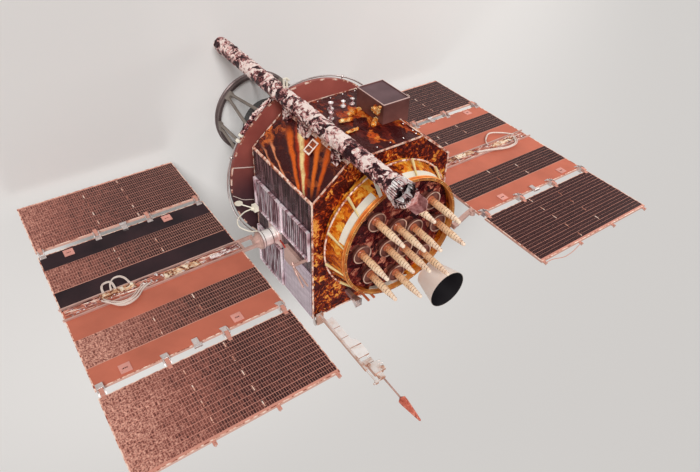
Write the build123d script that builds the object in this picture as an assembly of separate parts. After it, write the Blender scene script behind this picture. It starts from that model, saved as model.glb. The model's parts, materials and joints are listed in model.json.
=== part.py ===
from build123d import *
import os
from math import cos, radians, sin

# Navigation satellite with two sun-tracking wings, standing on its separation ring.
# Sizes are in millimetres. Z is the main axis, with the ring at the bottom and the antennas
# on top. Y runs along the wings. X points to the bevelled side of the body, which the wing
# cells face too. The origin is the centre of the ring's underside.

# Driving sizes
SPAN = 5300                       # wing tip to wing tip
BODY_X, BODY_Y = 815, 730         # half depth and half width of the body
BODY_BOTTOM, BODY_TOP = 1425, 2415
BEVEL_X, BEVEL_Y = 285, 340       # legs of the two bevelled corners
FOIL = 3                          # how far a covering stands off what carries it
WING_X, WING_Z = -230, 1780       # the wing drive axis runs along Y through here
ROOT_Y = 1102                     # inner edge of every wing panel
PANEL_T = 22
CELL_T = 2                        # the cell blankets stand this proud of a panel
CENTRE_HALF = 820                 # half chord of the centre panel
OUTER_IN, OUTER_OUT = 897, 1632   # edges of an outer panel, from the drive axis

SKIN_Y = BODY_Y - FOIL
TIP_Y = SPAN / 2
CELL_X = WING_X + 12              # front face of the wing panels
BACK_X = CELL_X - PANEL_T
HINGE_S = (CENTRE_HALF + OUTER_IN) / 2
HINGE_X = CELL_X + 20             # high enough for the outer panels to fold over the harness
SIDES = {"left": 1, "right": -1}
ALONG_X, ALONG_Y, ALONG_Z = (1, 0, 0), (0, 1, 0), (0, 0, 1)


def block(x0, x1, y0, y1, z0, z1):
    """A box between two corners, given in any order."""
    size = (abs(x1 - x0), abs(y1 - y0), abs(z1 - z0))
    return Pos((x0 + x1) / 2, (y0 + y1) / 2, (z0 + z1) / 2) * Box(*size)


def bar(start, end, radius):
    """A round bar from one point to another."""
    start, end = Vector(*start), Vector(*end)
    low = (Align.CENTER, Align.CENTER, Align.MIN)
    return Plane(origin=start, z_dir=end - start) * Cylinder(radius, (end - start).length, align=low)


def turned(*outline, centre=(0, 0)):
    """A body of revolution about an upright axis, from (radius, height) points."""
    face = Plane.XZ * Polygon(*outline, align=None)
    return Pos(*centre, 0) * revolve(face, Axis.Z)


def turned_on(place, *outline):
    """A body of revolution about the normal of a plane, from (radius, height) points."""
    return place * revolve(Plane.XZ * Polygon(*outline, align=None), Axis.Z)


def hoop(radius, height, thickness):
    return Pos(0, 0, height) * Torus(radius, thickness)


def polar(radius, degrees, height=0):
    return (radius * cos(radians(degrees)), radius * sin(radians(degrees)), height)


def cable(points, thickness):
    """A round cable of straight runs and tangent arcs."""
    points = [Vector(*point) for point in points]
    radii = []
    for before, here, after in zip(points, points[1:], points[2:]):
        turn = (here - before).get_angle(after - here)
        run = min((here - before).length, (after - here).length)
        radii.append(0.45 * run / sin(radians(turn / 2)) * cos(radians(turn / 2)))
    path = FilletPolyline(*points, radius=radii)
    start = Plane(origin=path @ 0, z_dir=path % 0)
    return sweep(start * Circle(thickness / 2), path)


def save(node, *solids):
    """Write one node; solids that touch are fused first."""
    shape = solids[0] if len(solids) == 1 else solids[0].fuse(*solids[1:])
    shape = shape if isinstance(shape, Compound) else Compound(children=[shape])
    solids = shape.solids()
    export_step(Compound(solids) if len(solids) > 1 else solids[0], f"parts/{node}.step")


# Body shell

def body_outline(inset=0):
    """Section of the body: a box whose two +X corners are bevelled."""
    x, y = BODY_X - inset, BODY_Y - inset
    return Polygon((-x, -y), (x - BEVEL_X, -y), (x, BEVEL_Y - y), (x, y - BEVEL_Y),
                   (x - BEVEL_X, y), (-x, y), align=None)


def bus_body():
    return extrude(Pos(0, 0, BODY_BOTTOM) * body_outline(FOIL), BODY_TOP - BODY_BOTTOM)


def edge_tapes():
    """Pale tape along both end outlines and the six long edges."""
    width = 14
    ring = body_outline() - offset(body_outline(FOIL), -width)
    sleeve = body_outline() - body_outline(FOIL)
    corners = Pos(0, 0, BODY_BOTTOM) * extrude(sleeve, BODY_TOP - BODY_BOTTOM)
    tapes = [Pos(0, 0, BODY_BOTTOM - FOIL) * extrude(ring, FOIL), Pos(0, 0, BODY_TOP) * extrude(ring, FOIL)]
    spots = [(x, y) for x in (-BODY_X, BODY_X - BEVEL_X) for y in (-BODY_Y, BODY_Y)]
    spots += [(BODY_X, BODY_Y - BEVEL_Y), (BODY_X, BEVEL_Y - BODY_Y)]
    for x, y in spots:
        tapes.append(corners & block(x - width, x + width, y - width, y + width, BODY_BOTTOM, BODY_TOP))
    return tapes


PORT_CENTRE = (750.5, 466.5, 2000)    # on the left bevel
PORT_SIZE = (128, 92)                 # across the bevel, along Z


def bevel_port():
    """Raised rim round two small square wells, on the left bevelled corner."""
    width, height = PORT_SIZE
    rim, depth = 12, 9
    outward = Vector(BEVEL_Y, BEVEL_X, 0).normalized()
    face = Plane(origin=PORT_CENTRE, x_dir=(-BEVEL_X, BEVEL_Y, 0), z_dir=outward)
    plate = face * extrude(Rectangle(width, height), depth)
    for x in (-27, 27):
        plate -= face * Pos(x, 0, 4) * extrude(Rectangle(width / 2 - 1.6 * rim, height - 2 * rim), depth)
    return plate - bus_body()


# Side louvres: frames of level blades, tilted so that they shade what is behind

LOUVRE_STAND = 30                 # how far a frame stands off the side
BLADE_PITCH, BLADE_DEPTH, BLADE_T, BLADE_TILT = 33, 24, 3, 35
LOUVRE_RIM = 14
LOUVRES = [                       # x low, x high, z low, z high of each frame
    (-120, 230, 1440, 1905),
    (-90, 230, 1925, 2400),
    (-795, -330, 1440, 1905),
]
RADIATOR = (-795, -250, 1925, 2400)


def louvre_frame(side, x0, x1, z0, z1):
    rim = LOUVRE_RIM
    y0, y1 = side * SKIN_Y, side * (SKIN_Y + LOUVRE_STAND)
    frame = block(x0, x1, y0, y1, z0, z1) - block(x0 + rim, x1 - rim, y0, y1, z0 + rim, z1 - rim)
    count = int((z1 - z0 - 2 * rim) / BLADE_PITCH)
    step = (z1 - z0 - 2 * rim) / count
    mid_y = side * (SKIN_Y + LOUVRE_STAND / 2)
    blade = Rot(side * BLADE_TILT, 0, 0) * Box(x1 - x0 - rim, BLADE_DEPTH, BLADE_T)
    blades = [Pos((x0 + x1) / 2, mid_y, z0 + rim + (n + 0.5) * step) * blade for n in range(count)]
    return frame.fuse(*blades)


def louvres(side):
    return [louvre_frame(side, *row) for row in LOUVRES]


def radiator(side):
    """White plate with a folded rim, in the lower quarter beside the mast."""
    x0, x1, z0, z1 = RADIATOR
    rim, floor_t, rim_t = 12, 8, 12
    plate = block(x0, x1, side * SKIN_Y, side * (SKIN_Y + rim_t), z0, z1)
    well = block(x0 + rim, x1 - rim, side * (SKIN_Y + floor_t), side * (SKIN_Y + 2 * rim_t),
                 z0 + rim, z1 - rim)
    return plate - well


# Latches that hold the folded wings: a plate, post and fork on the left, a reaching arm on the right

POST_X, POST_Z, POST_Y = -114, 2346, 872      # the left latch's post and how far out its fork is


def side_latch_left():
    rest_y, foil_t = SKIN_Y + 12, 18          # the plate rests on the radiator's rim
    outline = Polygon((-385, 1970), (-195, 1985), (-195, 2250), (-240, 2250), (-360, 2115), (-385, 2080),
                      align=None)
    plate = Pos(0, rest_y, 0) * extrude(Plane.XZ * outline, foil_t, dir=ALONG_Y)
    foot = block(-245, -195, SKIN_Y, rest_y, 1990, 2240)
    post = bar((POST_X, SKIN_Y, POST_Z), (POST_X, POST_Y + 8, POST_Z), 15)
    collar = bar((POST_X, SKIN_Y, POST_Z), (POST_X, SKIN_Y + 14, POST_Z), 22)
    yoke = bar((-90, POST_Y, 2328), (-175, POST_Y, 2405), 12)
    long_finger = bar((-122, POST_Y, 2356), (-159, POST_Y, 2583), 8)
    short_finger = bar((-172, POST_Y, 2402), (-246, POST_Y, 2504), 8)
    return [plate.fuse(foot), post.fuse(collar, yoke, long_finger, short_finger)]


def side_latch_right():
    base = block(-250, -150, -SKIN_Y, -SKIN_Y - 22, 2330, 2400)
    base += block(-225, -175, -BODY_Y, -BODY_Y - 14, 2400, 2640)
    upright = bar((-200, -BODY_Y - 7, 2620), (-200, -790, 2628), 13)
    arm_profile = Polygon((-740, 2645), (-1070, 2545), (-1078, 2515), (-1055, 2503), (-740, 2590), align=None)
    arm = Pos(-212, 0, 0) * extrude(Plane.YZ * arm_profile, 24, dir=ALONG_X)
    eye = bar((-222, -1040, 2560), (-178, -1040, 2560), 30)
    eye -= bar((-240, -1040, 2560), (-160, -1040, 2560), 20)
    return base.fuse(upright, arm, eye)


# Aft end: equipment drum, shield disc, motor, adapter struts and ring

DISC_R, DISC_Z, DISC_T = 900, 1235, 20
DRUM_R = 600
RING_R = 470
RING_TOP = 70
DISC_LOW, DISC_HIGH = DISC_Z - DISC_T / 2, DISC_Z + DISC_T / 2


def aft_drum():
    lip = 12
    return turned((0, DISC_HIGH), (DRUM_R + lip, DISC_HIGH), (DRUM_R + lip, DISC_HIGH + 20),
                  (DRUM_R, DISC_HIGH + 30), (DRUM_R, BODY_BOTTOM), (0, BODY_BOTTOM))


def aft_disc():
    """Flat shield with a turned-down rim."""
    rim, drop, inner = 14, 18, 480
    return turned((inner, DISC_LOW), (DISC_R - rim, DISC_LOW), (DISC_R - rim, DISC_LOW - drop),
                  (DISC_R, DISC_LOW - drop), (DISC_R, DISC_HIGH), (inner, DISC_HIGH))


def rim_rail():
    """Rail round the disc, on short posts with round knobs."""
    rail_r = DISC_R + 30
    pieces = [hoop(rail_r, DISC_Z, 8)]
    for n in range(8):
        angle = 22.5 + 45 * n
        pieces.append(bar(polar(DISC_R, angle, DISC_Z), polar(rail_r, angle, DISC_Z), 6))
        pieces.append(Pos(*polar(rail_r + 2, angle, DISC_Z)) * Sphere(16))
    return pieces


def motor_case():
    return turned((0, DISC_HIGH), (440, DISC_HIGH), (440, 950), (415, 860), (345, 785), (240, 740),
                  (100, 720), (0, 720))


def motor_nozzle():
    wall = 8
    return turned((70, 720), (86, 720), (150, 560), (225, 390), (280, 260), (280 - wall, 260),
                  (225 - wall, 390), (150 - wall, 560))


STRUT_PAIRS = 8
STRUT_R = 17


def adapter_struts():
    """Eight V pairs of struts from fittings under the disc down to fittings on the ring."""
    pieces = []
    for n in range(STRUT_PAIRS):
        foot_angle = 360 / STRUT_PAIRS * n
        pair = [Rot(0, 0, foot_angle) * block(RING_R - 22, RING_R + 14, -50, 50, RING_TOP, RING_TOP + 55)]
        for lean in (-0.38, 0.38):
            head_angle = foot_angle + lean * 360 / STRUT_PAIRS
            head = polar(DRUM_R - 40, head_angle, DISC_LOW)
            pair.append(bar(polar(RING_R - 4, foot_angle + 60 * lean / 8, RING_TOP + 30), head, STRUT_R))
            pair.append(Pos(*head) * Cylinder(34, 40, align=(Align.CENTER, Align.CENTER, Align.MAX)))
        vee = pair[0].fuse(*pair[1:])
        pieces.append(vee - block(-DISC_R, DISC_R, -DISC_R, DISC_R, DISC_LOW, DISC_LOW + 99))
    return pieces


def separation_ring():
    ring = turned((430, 0), (492, 0), (492, 12), (480, 20), (480, RING_TOP), (448, RING_TOP), (448, 16),
                  (430, 16))
    bolts, bolt_circle, bolt_r = 12, 440, 4.5
    for n in range(bolts):
        ring -= Pos(*polar(bolt_circle, 360 / bolts * (n + 0.5), 8)) * Cylinder(bolt_r, 30)
    return ring


# Antenna array: hoops, skirt, deck and twelve helix rods in cups

ARRAY_X, ARRAY_Y = 28, -24        # the array's axis, a little off the middle of the fore face
HOOP_R, HOOP_Z = 665, 2480
SKIRT_LOW_R, SKIRT_TOP_R, RIM_Z = 645, 588, 2650
SKIRT_WALL = 6
DECK_Z, DECK_T = 2590, 18
CUP_R, CUP_LOW, CUP_H, CUP_FLOOR = 90, 2656, 34, 8
POST_R = 40                       # each cup stands on a post above the deck
ROD_WAIST_Z, ROD_TIP_Z, ROD_R = 2890, 3045, 32
ARRAY = [                         # circle radius, first angle, how many
    (420, 43.4, 8),
    (152, 19.4, 4),
]


def on_array(piece):
    """Moves a piece made about the origin onto the array's axis."""
    return Pos(ARRAY_X, ARRAY_Y, 0) * piece


def array_points():
    for radius, first, count in ARRAY:
        for n in range(count):
            x, y, _ = polar(radius, first + 360 / count * n)
            yield ARRAY_X + x, ARRAY_Y + y


def skirt_radius(z, inward=0):
    """Radius of the skirt's outside at a height, or so far inside it."""
    slope = (SKIRT_LOW_R - SKIRT_TOP_R) / (RIM_Z - BODY_TOP)
    return SKIRT_TOP_R + slope * (RIM_Z - z) - inward


def array_skirt():
    ends = [(skirt_radius(z, inward), z) for z, inward in (
        (BODY_TOP, 0), (RIM_Z, 0), (RIM_Z, SKIRT_WALL), (BODY_TOP, SKIRT_WALL))]
    return on_array(turned(*ends))


def base_hoop():
    return on_array(hoop(HOOP_R, HOOP_Z, 8))


def front_hoop():
    """Double rim: two rolled edges with a web between them."""
    inner, web, outer = 582, 596, 610
    outline = [(inner, 0), (outer - 4, 0), (outer, 6), (outer - 4, 12), (web, 14), (web, 28), (outer - 4, 30),
               (outer, 36), (outer - 4, 42), (inner, 42)]
    return on_array(turned(*[(radius, RIM_Z + height) for radius, height in outline]))


def hoop_struts():
    """Leaning bars from the base hoop up to the rim, thick at the foot and thin at the head."""
    count, first, lean, foot_r, head_r = 12, 12, 6, 15, 6
    low = (Align.CENTER, Align.CENTER, Align.MIN)
    pieces = []
    for n in range(count):
        angle = 360 / count * n + first
        foot = Vector(*polar(HOOP_R, angle, HOOP_Z))
        along = Vector(*polar(600, angle + lean, RIM_Z + 4)) - foot
        strut = Plane(origin=foot, z_dir=along) * Cone(foot_r, head_r, along.length, align=low)
        pieces.append(on_array(strut) - base_hoop() - front_hoop())
    return pieces


COVER_BANDS = [(28, 47), (-42, 40)]   # start angle and sweep of each white sheet


def cover_bands():
    """White sheets wrapped round the upper part of the skirt, just off it."""
    low_z, high_z, thick, gap = 2575, 2646, 4, 0.5
    low_r, high_r = skirt_radius(low_z) + gap, skirt_radius(high_z) + gap
    outline = [(low_r, low_z), (low_r + thick, low_z), (high_r + thick, high_z), (high_r, high_z)]
    face = Plane.XZ * Polygon(*outline, align=None)
    return [on_array(Rot(0, 0, start) * revolve(face, Axis.Z, sweep)) for start, sweep in COVER_BANDS]


def array_deck():
    """Round deck that closes the skirt, sunk below the rim."""
    low = DECK_Z - DECK_T
    return on_array(turned((0, low), (skirt_radius(low, SKIRT_WALL), low),
                           (skirt_radius(DECK_Z, SKIRT_WALL), DECK_Z), (0, DECK_Z)))


def helix_cup(x, y):
    """Shallow cup with a rolled rim, round the foot of a rod, on its post."""
    top, floor_top, wall = CUP_LOW + CUP_H, CUP_LOW + CUP_FLOOR, 5
    post = [(0, DECK_Z), (POST_R, DECK_Z), (POST_R, CUP_LOW)]
    outside = [(CUP_R - 12, CUP_LOW), (CUP_R - 4, CUP_LOW + 8), (CUP_R - 4, top - 5), (CUP_R, top - 5)]
    inside = [(CUP_R, top), (CUP_R - wall - 4, top), (CUP_R - wall - 4, floor_top), (0, floor_top)]
    return turned(*post, *outside, *inside, centre=(x, y))


def helix_rod(x, y):
    """Straight to past the middle, then tapered to a rounded cap."""
    base, tip = CUP_LOW + CUP_FLOOR, ROD_TIP_Z
    collar = [(0, base), (ROD_R + 6, base), (ROD_R + 6, base + 10), (ROD_R, base + 16)]
    return turned(*collar, (ROD_R, ROD_WAIST_Z), (16, tip - 10), (10, tip - 2), (0, tip), centre=(x, y))


# Sensors and small fittings on the forward face

SHADE_XY = (-585, -417)
SHADE_LOW, SHADE_TOP = 2700, 2970
SHADE_LOW_R, SHADE_TOP_R = 136, 200


def optical_shade():
    wall = 4
    return turned((0, SHADE_LOW), (SHADE_LOW_R, SHADE_LOW), (SHADE_TOP_R, SHADE_TOP),
                  (SHADE_TOP_R - wall, SHADE_TOP), (SHADE_LOW_R - wall, SHADE_LOW + wall),
                  (0, SHADE_LOW + wall), centre=SHADE_XY)


def optical_barrel():
    foot = [(0, BODY_TOP), (70, BODY_TOP), (70, BODY_TOP + 20), (40, BODY_TOP + 20)]
    head = [(40, SHADE_LOW - 30), (60, SHADE_LOW - 30), (60, SHADE_LOW), (0, SHADE_LOW)]
    return turned(*foot, *head, centre=SHADE_XY)


HORN_XY = (-650, 345)


def sun_horn():
    """Small square horn on a stub."""
    wall, throat_z, mouth_z = 3, 2520, 2610
    place = Pos(*HORN_XY, 0)
    stub = Pos(0, 0, (BODY_TOP + throat_z) / 2) * Box(40, 40, throat_z - BODY_TOP)
    outside = loft([Pos(0, 0, throat_z) * Rectangle(40, 40), Pos(0, 0, mouth_z) * Rectangle(88, 70)])
    inside = loft([Pos(0, 0, throat_z + wall) * Rectangle(34, 34),
                   Pos(0, 0, mouth_z + 2) * Rectangle(82, 64)])
    return place * (stub + outside - inside)


def short_posts():
    posts = [(-745, 190, 150), (-765, 110, 130)]      # x, y, height
    return [bar((x, y, BODY_TOP), (x, y, BODY_TOP + height), 13) for x, y, height in posts]


LUMPS = [                         # y, z, length, angle from Y, radius of each wrapped pipe fitting
    (-104, 1803, 120, 15, 26),
    (39, 1883, 100, -10, 22),
    (-150, 2040, 90, 40, 26),
    (91, 2053, 110, 5, 18),
]
COVER_ANGLE, COVER_Z, COVER_R = -5.5, 2516, 27     # round cover on the array's skirt


def top_fittings():
    """Wrapped pipe fittings on the +X side, a cluster beside the box and a round cover on the skirt."""
    pieces = []
    for y, z, length, angle, radius in LUMPS:
        dy, dz, _ = polar(length / 2, angle)
        x = BODY_X - FOIL + 0.45 * radius
        ends = [(x, y - dy, z - dz), (x, y + dy, z + dz)]
        lump = bar(*ends, radius).fuse(*[Pos(*end) * Sphere(radius) for end in ends])
        pieces.append(lump - bus_body() - upper_box())
    box_side = BOX_Y[1]
    cluster = block(885, 960, box_side, box_side + 26, 1985, 2060)
    pieces.append(cluster.fuse(bar((900, box_side + 20, 2050), (985, box_side + 20, 2080), 15),
                               bar((930, box_side, 2000), (930, box_side + 44, 2000), 19)))
    outward = Vector(*polar(1, COVER_ANGLE))
    place = Plane(origin=outward * (SKIRT_TOP_R + 8) + Vector(0, 0, COVER_Z), z_dir=outward)
    cover = turned_on(place, (0, 0), (COVER_R, 0), (COVER_R, 46), (COVER_R - 8, 54), (0, 54))
    inside = turned((0, BODY_TOP), (SKIRT_LOW_R, BODY_TOP), (SKIRT_TOP_R, RIM_Z), (0, RIM_Z))
    pieces.append(on_array(cover - inside))
    return pieces


# Foil tube with its saddles, and the grey box

TUBE_X, TUBE_Y, TUBE_R = 955, 400, 82
TUBE_LOW, TUBE_TOP = 170, 3140
SADDLES = [(1500, 1580), (1750, 1900), (2270, 2360)]    # low and high ends


TUBE_MOUTH = TUBE_TOP - 170        # floor of the open end
TUBE_SIDE = [(0, TUBE_LOW), (TUBE_R - 10, TUBE_LOW), (TUBE_R, TUBE_LOW + 14), (TUBE_R, TUBE_MOUTH - 20),
             (TUBE_R + 9, TUBE_MOUTH + 20), (TUBE_R + 12, TUBE_TOP)]


def foil_tube():
    """Long wrapped tube, open at the top in a loose sleeve."""
    inside = [(TUBE_R + 4, TUBE_TOP), (TUBE_R - 8, TUBE_MOUTH), (0, TUBE_MOUTH)]
    return turned(*TUBE_SIDE, *inside, centre=(TUBE_X, TUBE_Y))


def tube_saddles():
    """Foil-wrapped blocks that hold the tube on the body's bevelled corner."""
    tube = Pos(TUBE_X, TUBE_Y, WING_Z) * Cylinder(TUBE_R, SPAN)
    others = [bus_body(), *edge_tapes(), tube]
    pieces = []
    for low, high in SADDLES:
        saddle = block(700, TUBE_X, TUBE_Y - 55, TUBE_Y + 55, low, high)
        for other in others:
            saddle -= other
        pieces.append(saddle)
    return pieces


def tube_strut():
    """Pale strut from the tube to the rim of the array, and the open bracket on the tube's back."""
    tube = Pos(TUBE_X, TUBE_Y, WING_Z) * Cylinder(TUBE_R, SPAN)
    start, end = Vector(905, 372, 2690), Vector(585, 240, 2674)
    along = end - start
    flat = Polygon((0, -20), (along.length, -15), (along.length, 15), (0, 20), align=None)
    level = Vector(0, 0, 1) - along.normalized() * along.normalized().Z
    strut = Plane(origin=start, x_dir=along, z_dir=level) * extrude(flat, 6)
    loop = Polygon((1010, 412), (1125, 412), (1125, 370), (1010, 370), align=None) - Polygon(
        (1000, 400), (1113, 400), (1113, 382), (1000, 382), align=None)
    bracket = Pos(0, 0, 1458) * extrude(loop, 14, dir=ALONG_Z)
    bracket += block(1113, 1125, 370, 382, 1458, 1512)
    return [strut - tube - front_hoop(), bracket - tube]


TRAY_X, TRAY_Y, TRAY_Z = (800, 892), (248, 345), (3106, 3208)


def mouth_tray():
    """Tray beside the tube's mouth: a floor, one side and the end wall that holds it to the tube."""
    sheet, (x0, x1), (y0, y1), (z0, z1) = 4, TRAY_X, TRAY_Y, TRAY_Z
    floor = block(x0, x0 + sheet, y0, y1, z0, z1)
    side = block(x0, x1, y0, y0 + sheet, z0, z1)
    end = block(x0, x1 + 16, y0, y1 + 12, z0, z0 + sheet)
    whole_tube = turned(*TUBE_SIDE, (0, TUBE_TOP), centre=(TUBE_X, TUBE_Y))
    return floor.fuse(side, end) - whole_tube


BOX_Y, BOX_Z, BOX_FACE = (-470, -190), (1710, 2100), 1000


def upper_box():
    """Box on the +X side, its face sunk inside a narrow rim."""
    rim, depth = 11, 7
    box = block(BODY_X - 35, BOX_FACE, *BOX_Y, *BOX_Z)
    well = block(BOX_FACE - depth, BOX_FACE + depth, BOX_Y[0] + rim, BOX_Y[1] - rim,
                 BOX_Z[0] + rim, BOX_Z[1] - rim)
    return box - well - bus_body() - edge_tapes()


THRUSTERS = [                     # y, z on the +X side, size against the largest
    (46, 1648, 1.0),
    (-81, 1659, 0.8),
    (-177, 1662, 0.8),
    (-318, 1656, 1.0),
    (132, 1785, 0.9),
]


def thruster(y, z, size):
    """Six-sided mount with a flared nozzle."""
    place = Plane(origin=(BODY_X - FOIL, y, z), z_dir=(1, 0, 0))
    mount = place * extrude(RegularPolygon(30 * size, 6), 16 * size)
    outline = [(0, 0), (20, 0), (20, 22), (11, 30), (11, 42), (26, 72), (22, 72), (7, 46), (0, 46)]
    return mount + turned_on(place, *[(size * radius, size * height) for radius, height in outline])


# Lower mast with its cone antenna

MAST_X, MAST_Y = -750, 605        # line of the rod and cone
RAIL_Y = 680
FOLD_X, FOLD_Z = -860, 2440       # the mast's hinge line runs along Y through here
LUG_IN, LUG_OUT = 38, 46          # the hinge lugs, either side of the rail
RAIL_TOP, CROSS_Z = 3205, 3356    # rail's end and crossbar beyond it
ROD_LOW, CONE_LOW, MAST_TOP = 3350, 3580, 3835


def mast_root():
    """Hinge lugs and pin on the body's lower forward corner."""
    lug = Polygon((FOLD_X - 22, FOLD_Z - 10), (FOLD_X - 22, FOLD_Z + 14), (FOLD_X - 10, FOLD_Z + 25),
                  (FOLD_X + 20, FOLD_Z + 25), (MAST_X - 5, BODY_TOP + 12), (MAST_X - 5, BODY_TOP + FOIL),
                  (FOLD_X + 10, BODY_TOP + FOIL), align=None)
    pieces = [bar((FOLD_X, RAIL_Y - LUG_OUT, FOLD_Z), (FOLD_X, RAIL_Y + LUG_OUT, FOLD_Z), 7)]
    for y in (RAIL_Y - LUG_OUT, RAIL_Y + LUG_IN):
        pieces.append(Pos(0, y, 0) * extrude(Plane.XZ * lug, LUG_OUT - LUG_IN, dir=ALONG_Y))
    return pieces


def mast_rail():
    """Knuckle, arm and long rail, a channel that is open to the rear."""
    half = LUG_IN - 5
    knuckle = bar((FOLD_X, RAIL_Y - half, FOLD_Z), (FOLD_X, RAIL_Y + half, FOLD_Z), 20)
    arm = block(FOLD_X, MAST_X + 15, RAIL_Y - half, RAIL_Y + half, FOLD_Z + 12, FOLD_Z + 40)
    rail = block(MAST_X - 15, MAST_X + 15, RAIL_Y - 10, RAIL_Y + 10, FOLD_Z + 20, RAIL_TOP)
    rail -= block(MAST_X - 20, MAST_X + 9, RAIL_Y - 5, RAIL_Y + 5, FOLD_Z + 70, RAIL_TOP - 110)
    bore = bar((FOLD_X, RAIL_Y - LUG_OUT, FOLD_Z), (FOLD_X, RAIL_Y + LUG_OUT, FOLD_Z), 7.1)
    return knuckle.fuse(arm, rail) - bore


def mast_plates():
    """White plates side by side along the rail, the last with a bowed strip at its edge."""
    pitch, length, edge_y = 132, 124, 600
    lows = [2560 + pitch * n for n in range(4)]
    plates = [block(MAST_X + 9, MAST_X + 15, edge_y, RAIL_Y - 10, low, low + length) for low in lows]
    bow = Polygon((edge_y, 2862), (566, 2892), (553, 2960), (556, 3060), (572, 3100), (edge_y, 3108),
                  align=None)
    plates.append(Pos(MAST_X + 9, 0, 0) * extrude(Plane.YZ * bow, 6, dir=ALONG_X))
    return plates


def mast_head():
    """Release mechanism at the rail's end: stepped case, drum, cap, and a crossbar on a thin rod."""
    case = block(MAST_X - 20, MAST_X + 20, 575, RAIL_Y - 10, 3120, 3170)
    case += block(MAST_X - 12, MAST_X + 12, 590, 640, 3160, 3190)
    case += block(MAST_X - 20, MAST_X + 24, 560, 650, 3178, 3290)
    drum = bar((MAST_X, 560, 3262), (MAST_X, 534, 3262), 24)
    cap = block(MAST_X - 12, MAST_X + 12, 585, 640, 3290, ROD_LOW)
    horns = [bar((MAST_X + 20, 560, z), (MAST_X + 20, 526, z + 12), 5) for z in (3186, 3216)]
    crossbar = bar((MAST_X, 590, CROSS_Z - 20), (MAST_X, 712, CROSS_Z), 8)
    rod = bar((MAST_X, RAIL_Y, RAIL_TOP), (MAST_X, RAIL_Y, CROSS_Z), 6)
    knob = Pos(MAST_X, RAIL_Y, CROSS_Z - 4) * Box(26, 26, 26)
    return case.fuse(drum, cap, *horns, crossbar, rod, knob)


def mast_rod():
    return bar((MAST_X, MAST_Y, ROD_LOW), (MAST_X, MAST_Y, CONE_LOW), 8)


def mast_cone():
    return turned((0, CONE_LOW), (14, CONE_LOW), (36, CONE_LOW + 20), (34, CONE_LOW + 60),
                  (9, MAST_TOP - 6), (4, MAST_TOP), (0, MAST_TOP), centre=(MAST_X, MAST_Y))


# Wings. A place on a wing is x, y from the body's middle and s along the chord from the drive axis.

HINGES_Y = (1150, 1645, 2128, 2610)
SPRING_Y = 1880                   # a closing spring sits on the hinge line here
ARM_HALF, FORK_IN, FORK_OUT = 16, 21, 27
CELL_ROW, CELL_ROWS, CELL_START = 78, 9, 905     # rows of cells on an outer panel
STRIP_START, STRIP_END = 300, 606                # a strip of cells on each half of the centre panel
CELL_MARGIN = 8
PADS_Y, PAD_S, PAD_HALF = (1500, 2404), 745, 43   # hold-down pads beside the hinge lines
TABS_Y, TAB_LENGTH = (1125, 1625, 2115, 2612), 38  # stand-off tabs on the fore panel's far edge
TAB_WIRE = [(1125, 1655), (1224, 1656), (1329, 1700), (1470, 1690), (1578, 1662), (1625, 1655)]


def wing_block(side, x0, x1, y0, y1, s0, s1):
    return block(x0, x1, side * y0, side * y1, WING_Z + s0, WING_Z + s1)


def wing_bar(side, start, end, radius):
    """A round bar on a wing between two (x, y, s) places."""
    ends = [(x, side * y, WING_Z + s) for x, y, s in (start, end)]
    return bar(*ends, radius)


def centre_panel(side):
    """Plain panel with a raised strip of cells on each half."""
    panel = wing_block(side, BACK_X, CELL_X, ROOT_Y, TIP_Y, -CENTRE_HALF, CENTRE_HALF)
    strips = [wing_block(side, CELL_X, CELL_X + CELL_T, ROOT_Y + CELL_MARGIN, TIP_Y - CELL_MARGIN,
                         end * STRIP_START, end * STRIP_END) for end in (-1, 1)]
    return panel.fuse(*strips)


def hinge_pin(side, end, y, half, radius):
    """A bar on the hinge line, centred on y."""
    return wing_bar(side, (HINGE_X, y - half, end * HINGE_S), (HINGE_X, y + half, end * HINGE_S), radius)


def hinge_forks(side, end):
    """Forks with their pins on one long edge of the centre panel, and the closing spring."""
    foot_in, foot_t, top_x, reach = CENTRE_HALF - 46, 3, HINGE_X + 12, HINGE_S + 12
    pieces = []
    for y in HINGES_Y:
        fork = wing_block(side, CELL_X, CELL_X + foot_t, y - FORK_OUT, y + FORK_OUT,
                          end * foot_in, end * CENTRE_HALF)
        for low, high in ((-FORK_OUT, -FORK_IN), (FORK_IN, FORK_OUT)):
            fork += wing_block(side, BACK_X, top_x, y + low, y + high, end * CENTRE_HALF, end * reach)
            fork += wing_block(side, CELL_X, HINGE_X, y + low, y + high,
                               end * (foot_in + 20), end * CENTRE_HALF)
        fork += hinge_pin(side, end, y, FORK_OUT, 5)
        pieces.append(fork)
    spring = hinge_pin(side, end, SPRING_Y, 32, 16)
    shoe = wing_block(side, CELL_X, HINGE_X, SPRING_Y - 24, SPRING_Y + 24, end * foot_in, end * (HINGE_S - 6))
    pieces.append(spring.fuse(shoe))
    return pieces


def outer_panel(side, end):
    """Panel with its raised cell blanket and its hinge arms."""
    panel = wing_block(side, BACK_X, CELL_X, ROOT_Y, TIP_Y, end * OUTER_IN, end * OUTER_OUT)
    cells = wing_block(side, CELL_X, CELL_X + CELL_T, ROOT_Y + CELL_MARGIN, TIP_Y - CELL_MARGIN,
                       end * CELL_START, end * (CELL_START + CELL_ROW * CELL_ROWS))
    panel += cells
    for y in HINGES_Y:
        arm = wing_block(side, CELL_X - 6, HINGE_X + 10, y - ARM_HALF, y + ARM_HALF, end * (HINGE_S - 11),
                         end * (OUTER_IN + 8))
        arm += wing_block(side, CELL_X, CELL_X + 8, y - ARM_HALF, y + ARM_HALF,
                          end * OUTER_IN, end * (OUTER_IN + 36))
        panel += arm - hinge_pin(side, end, y, FORK_OUT, 5.1)
    return panel


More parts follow.
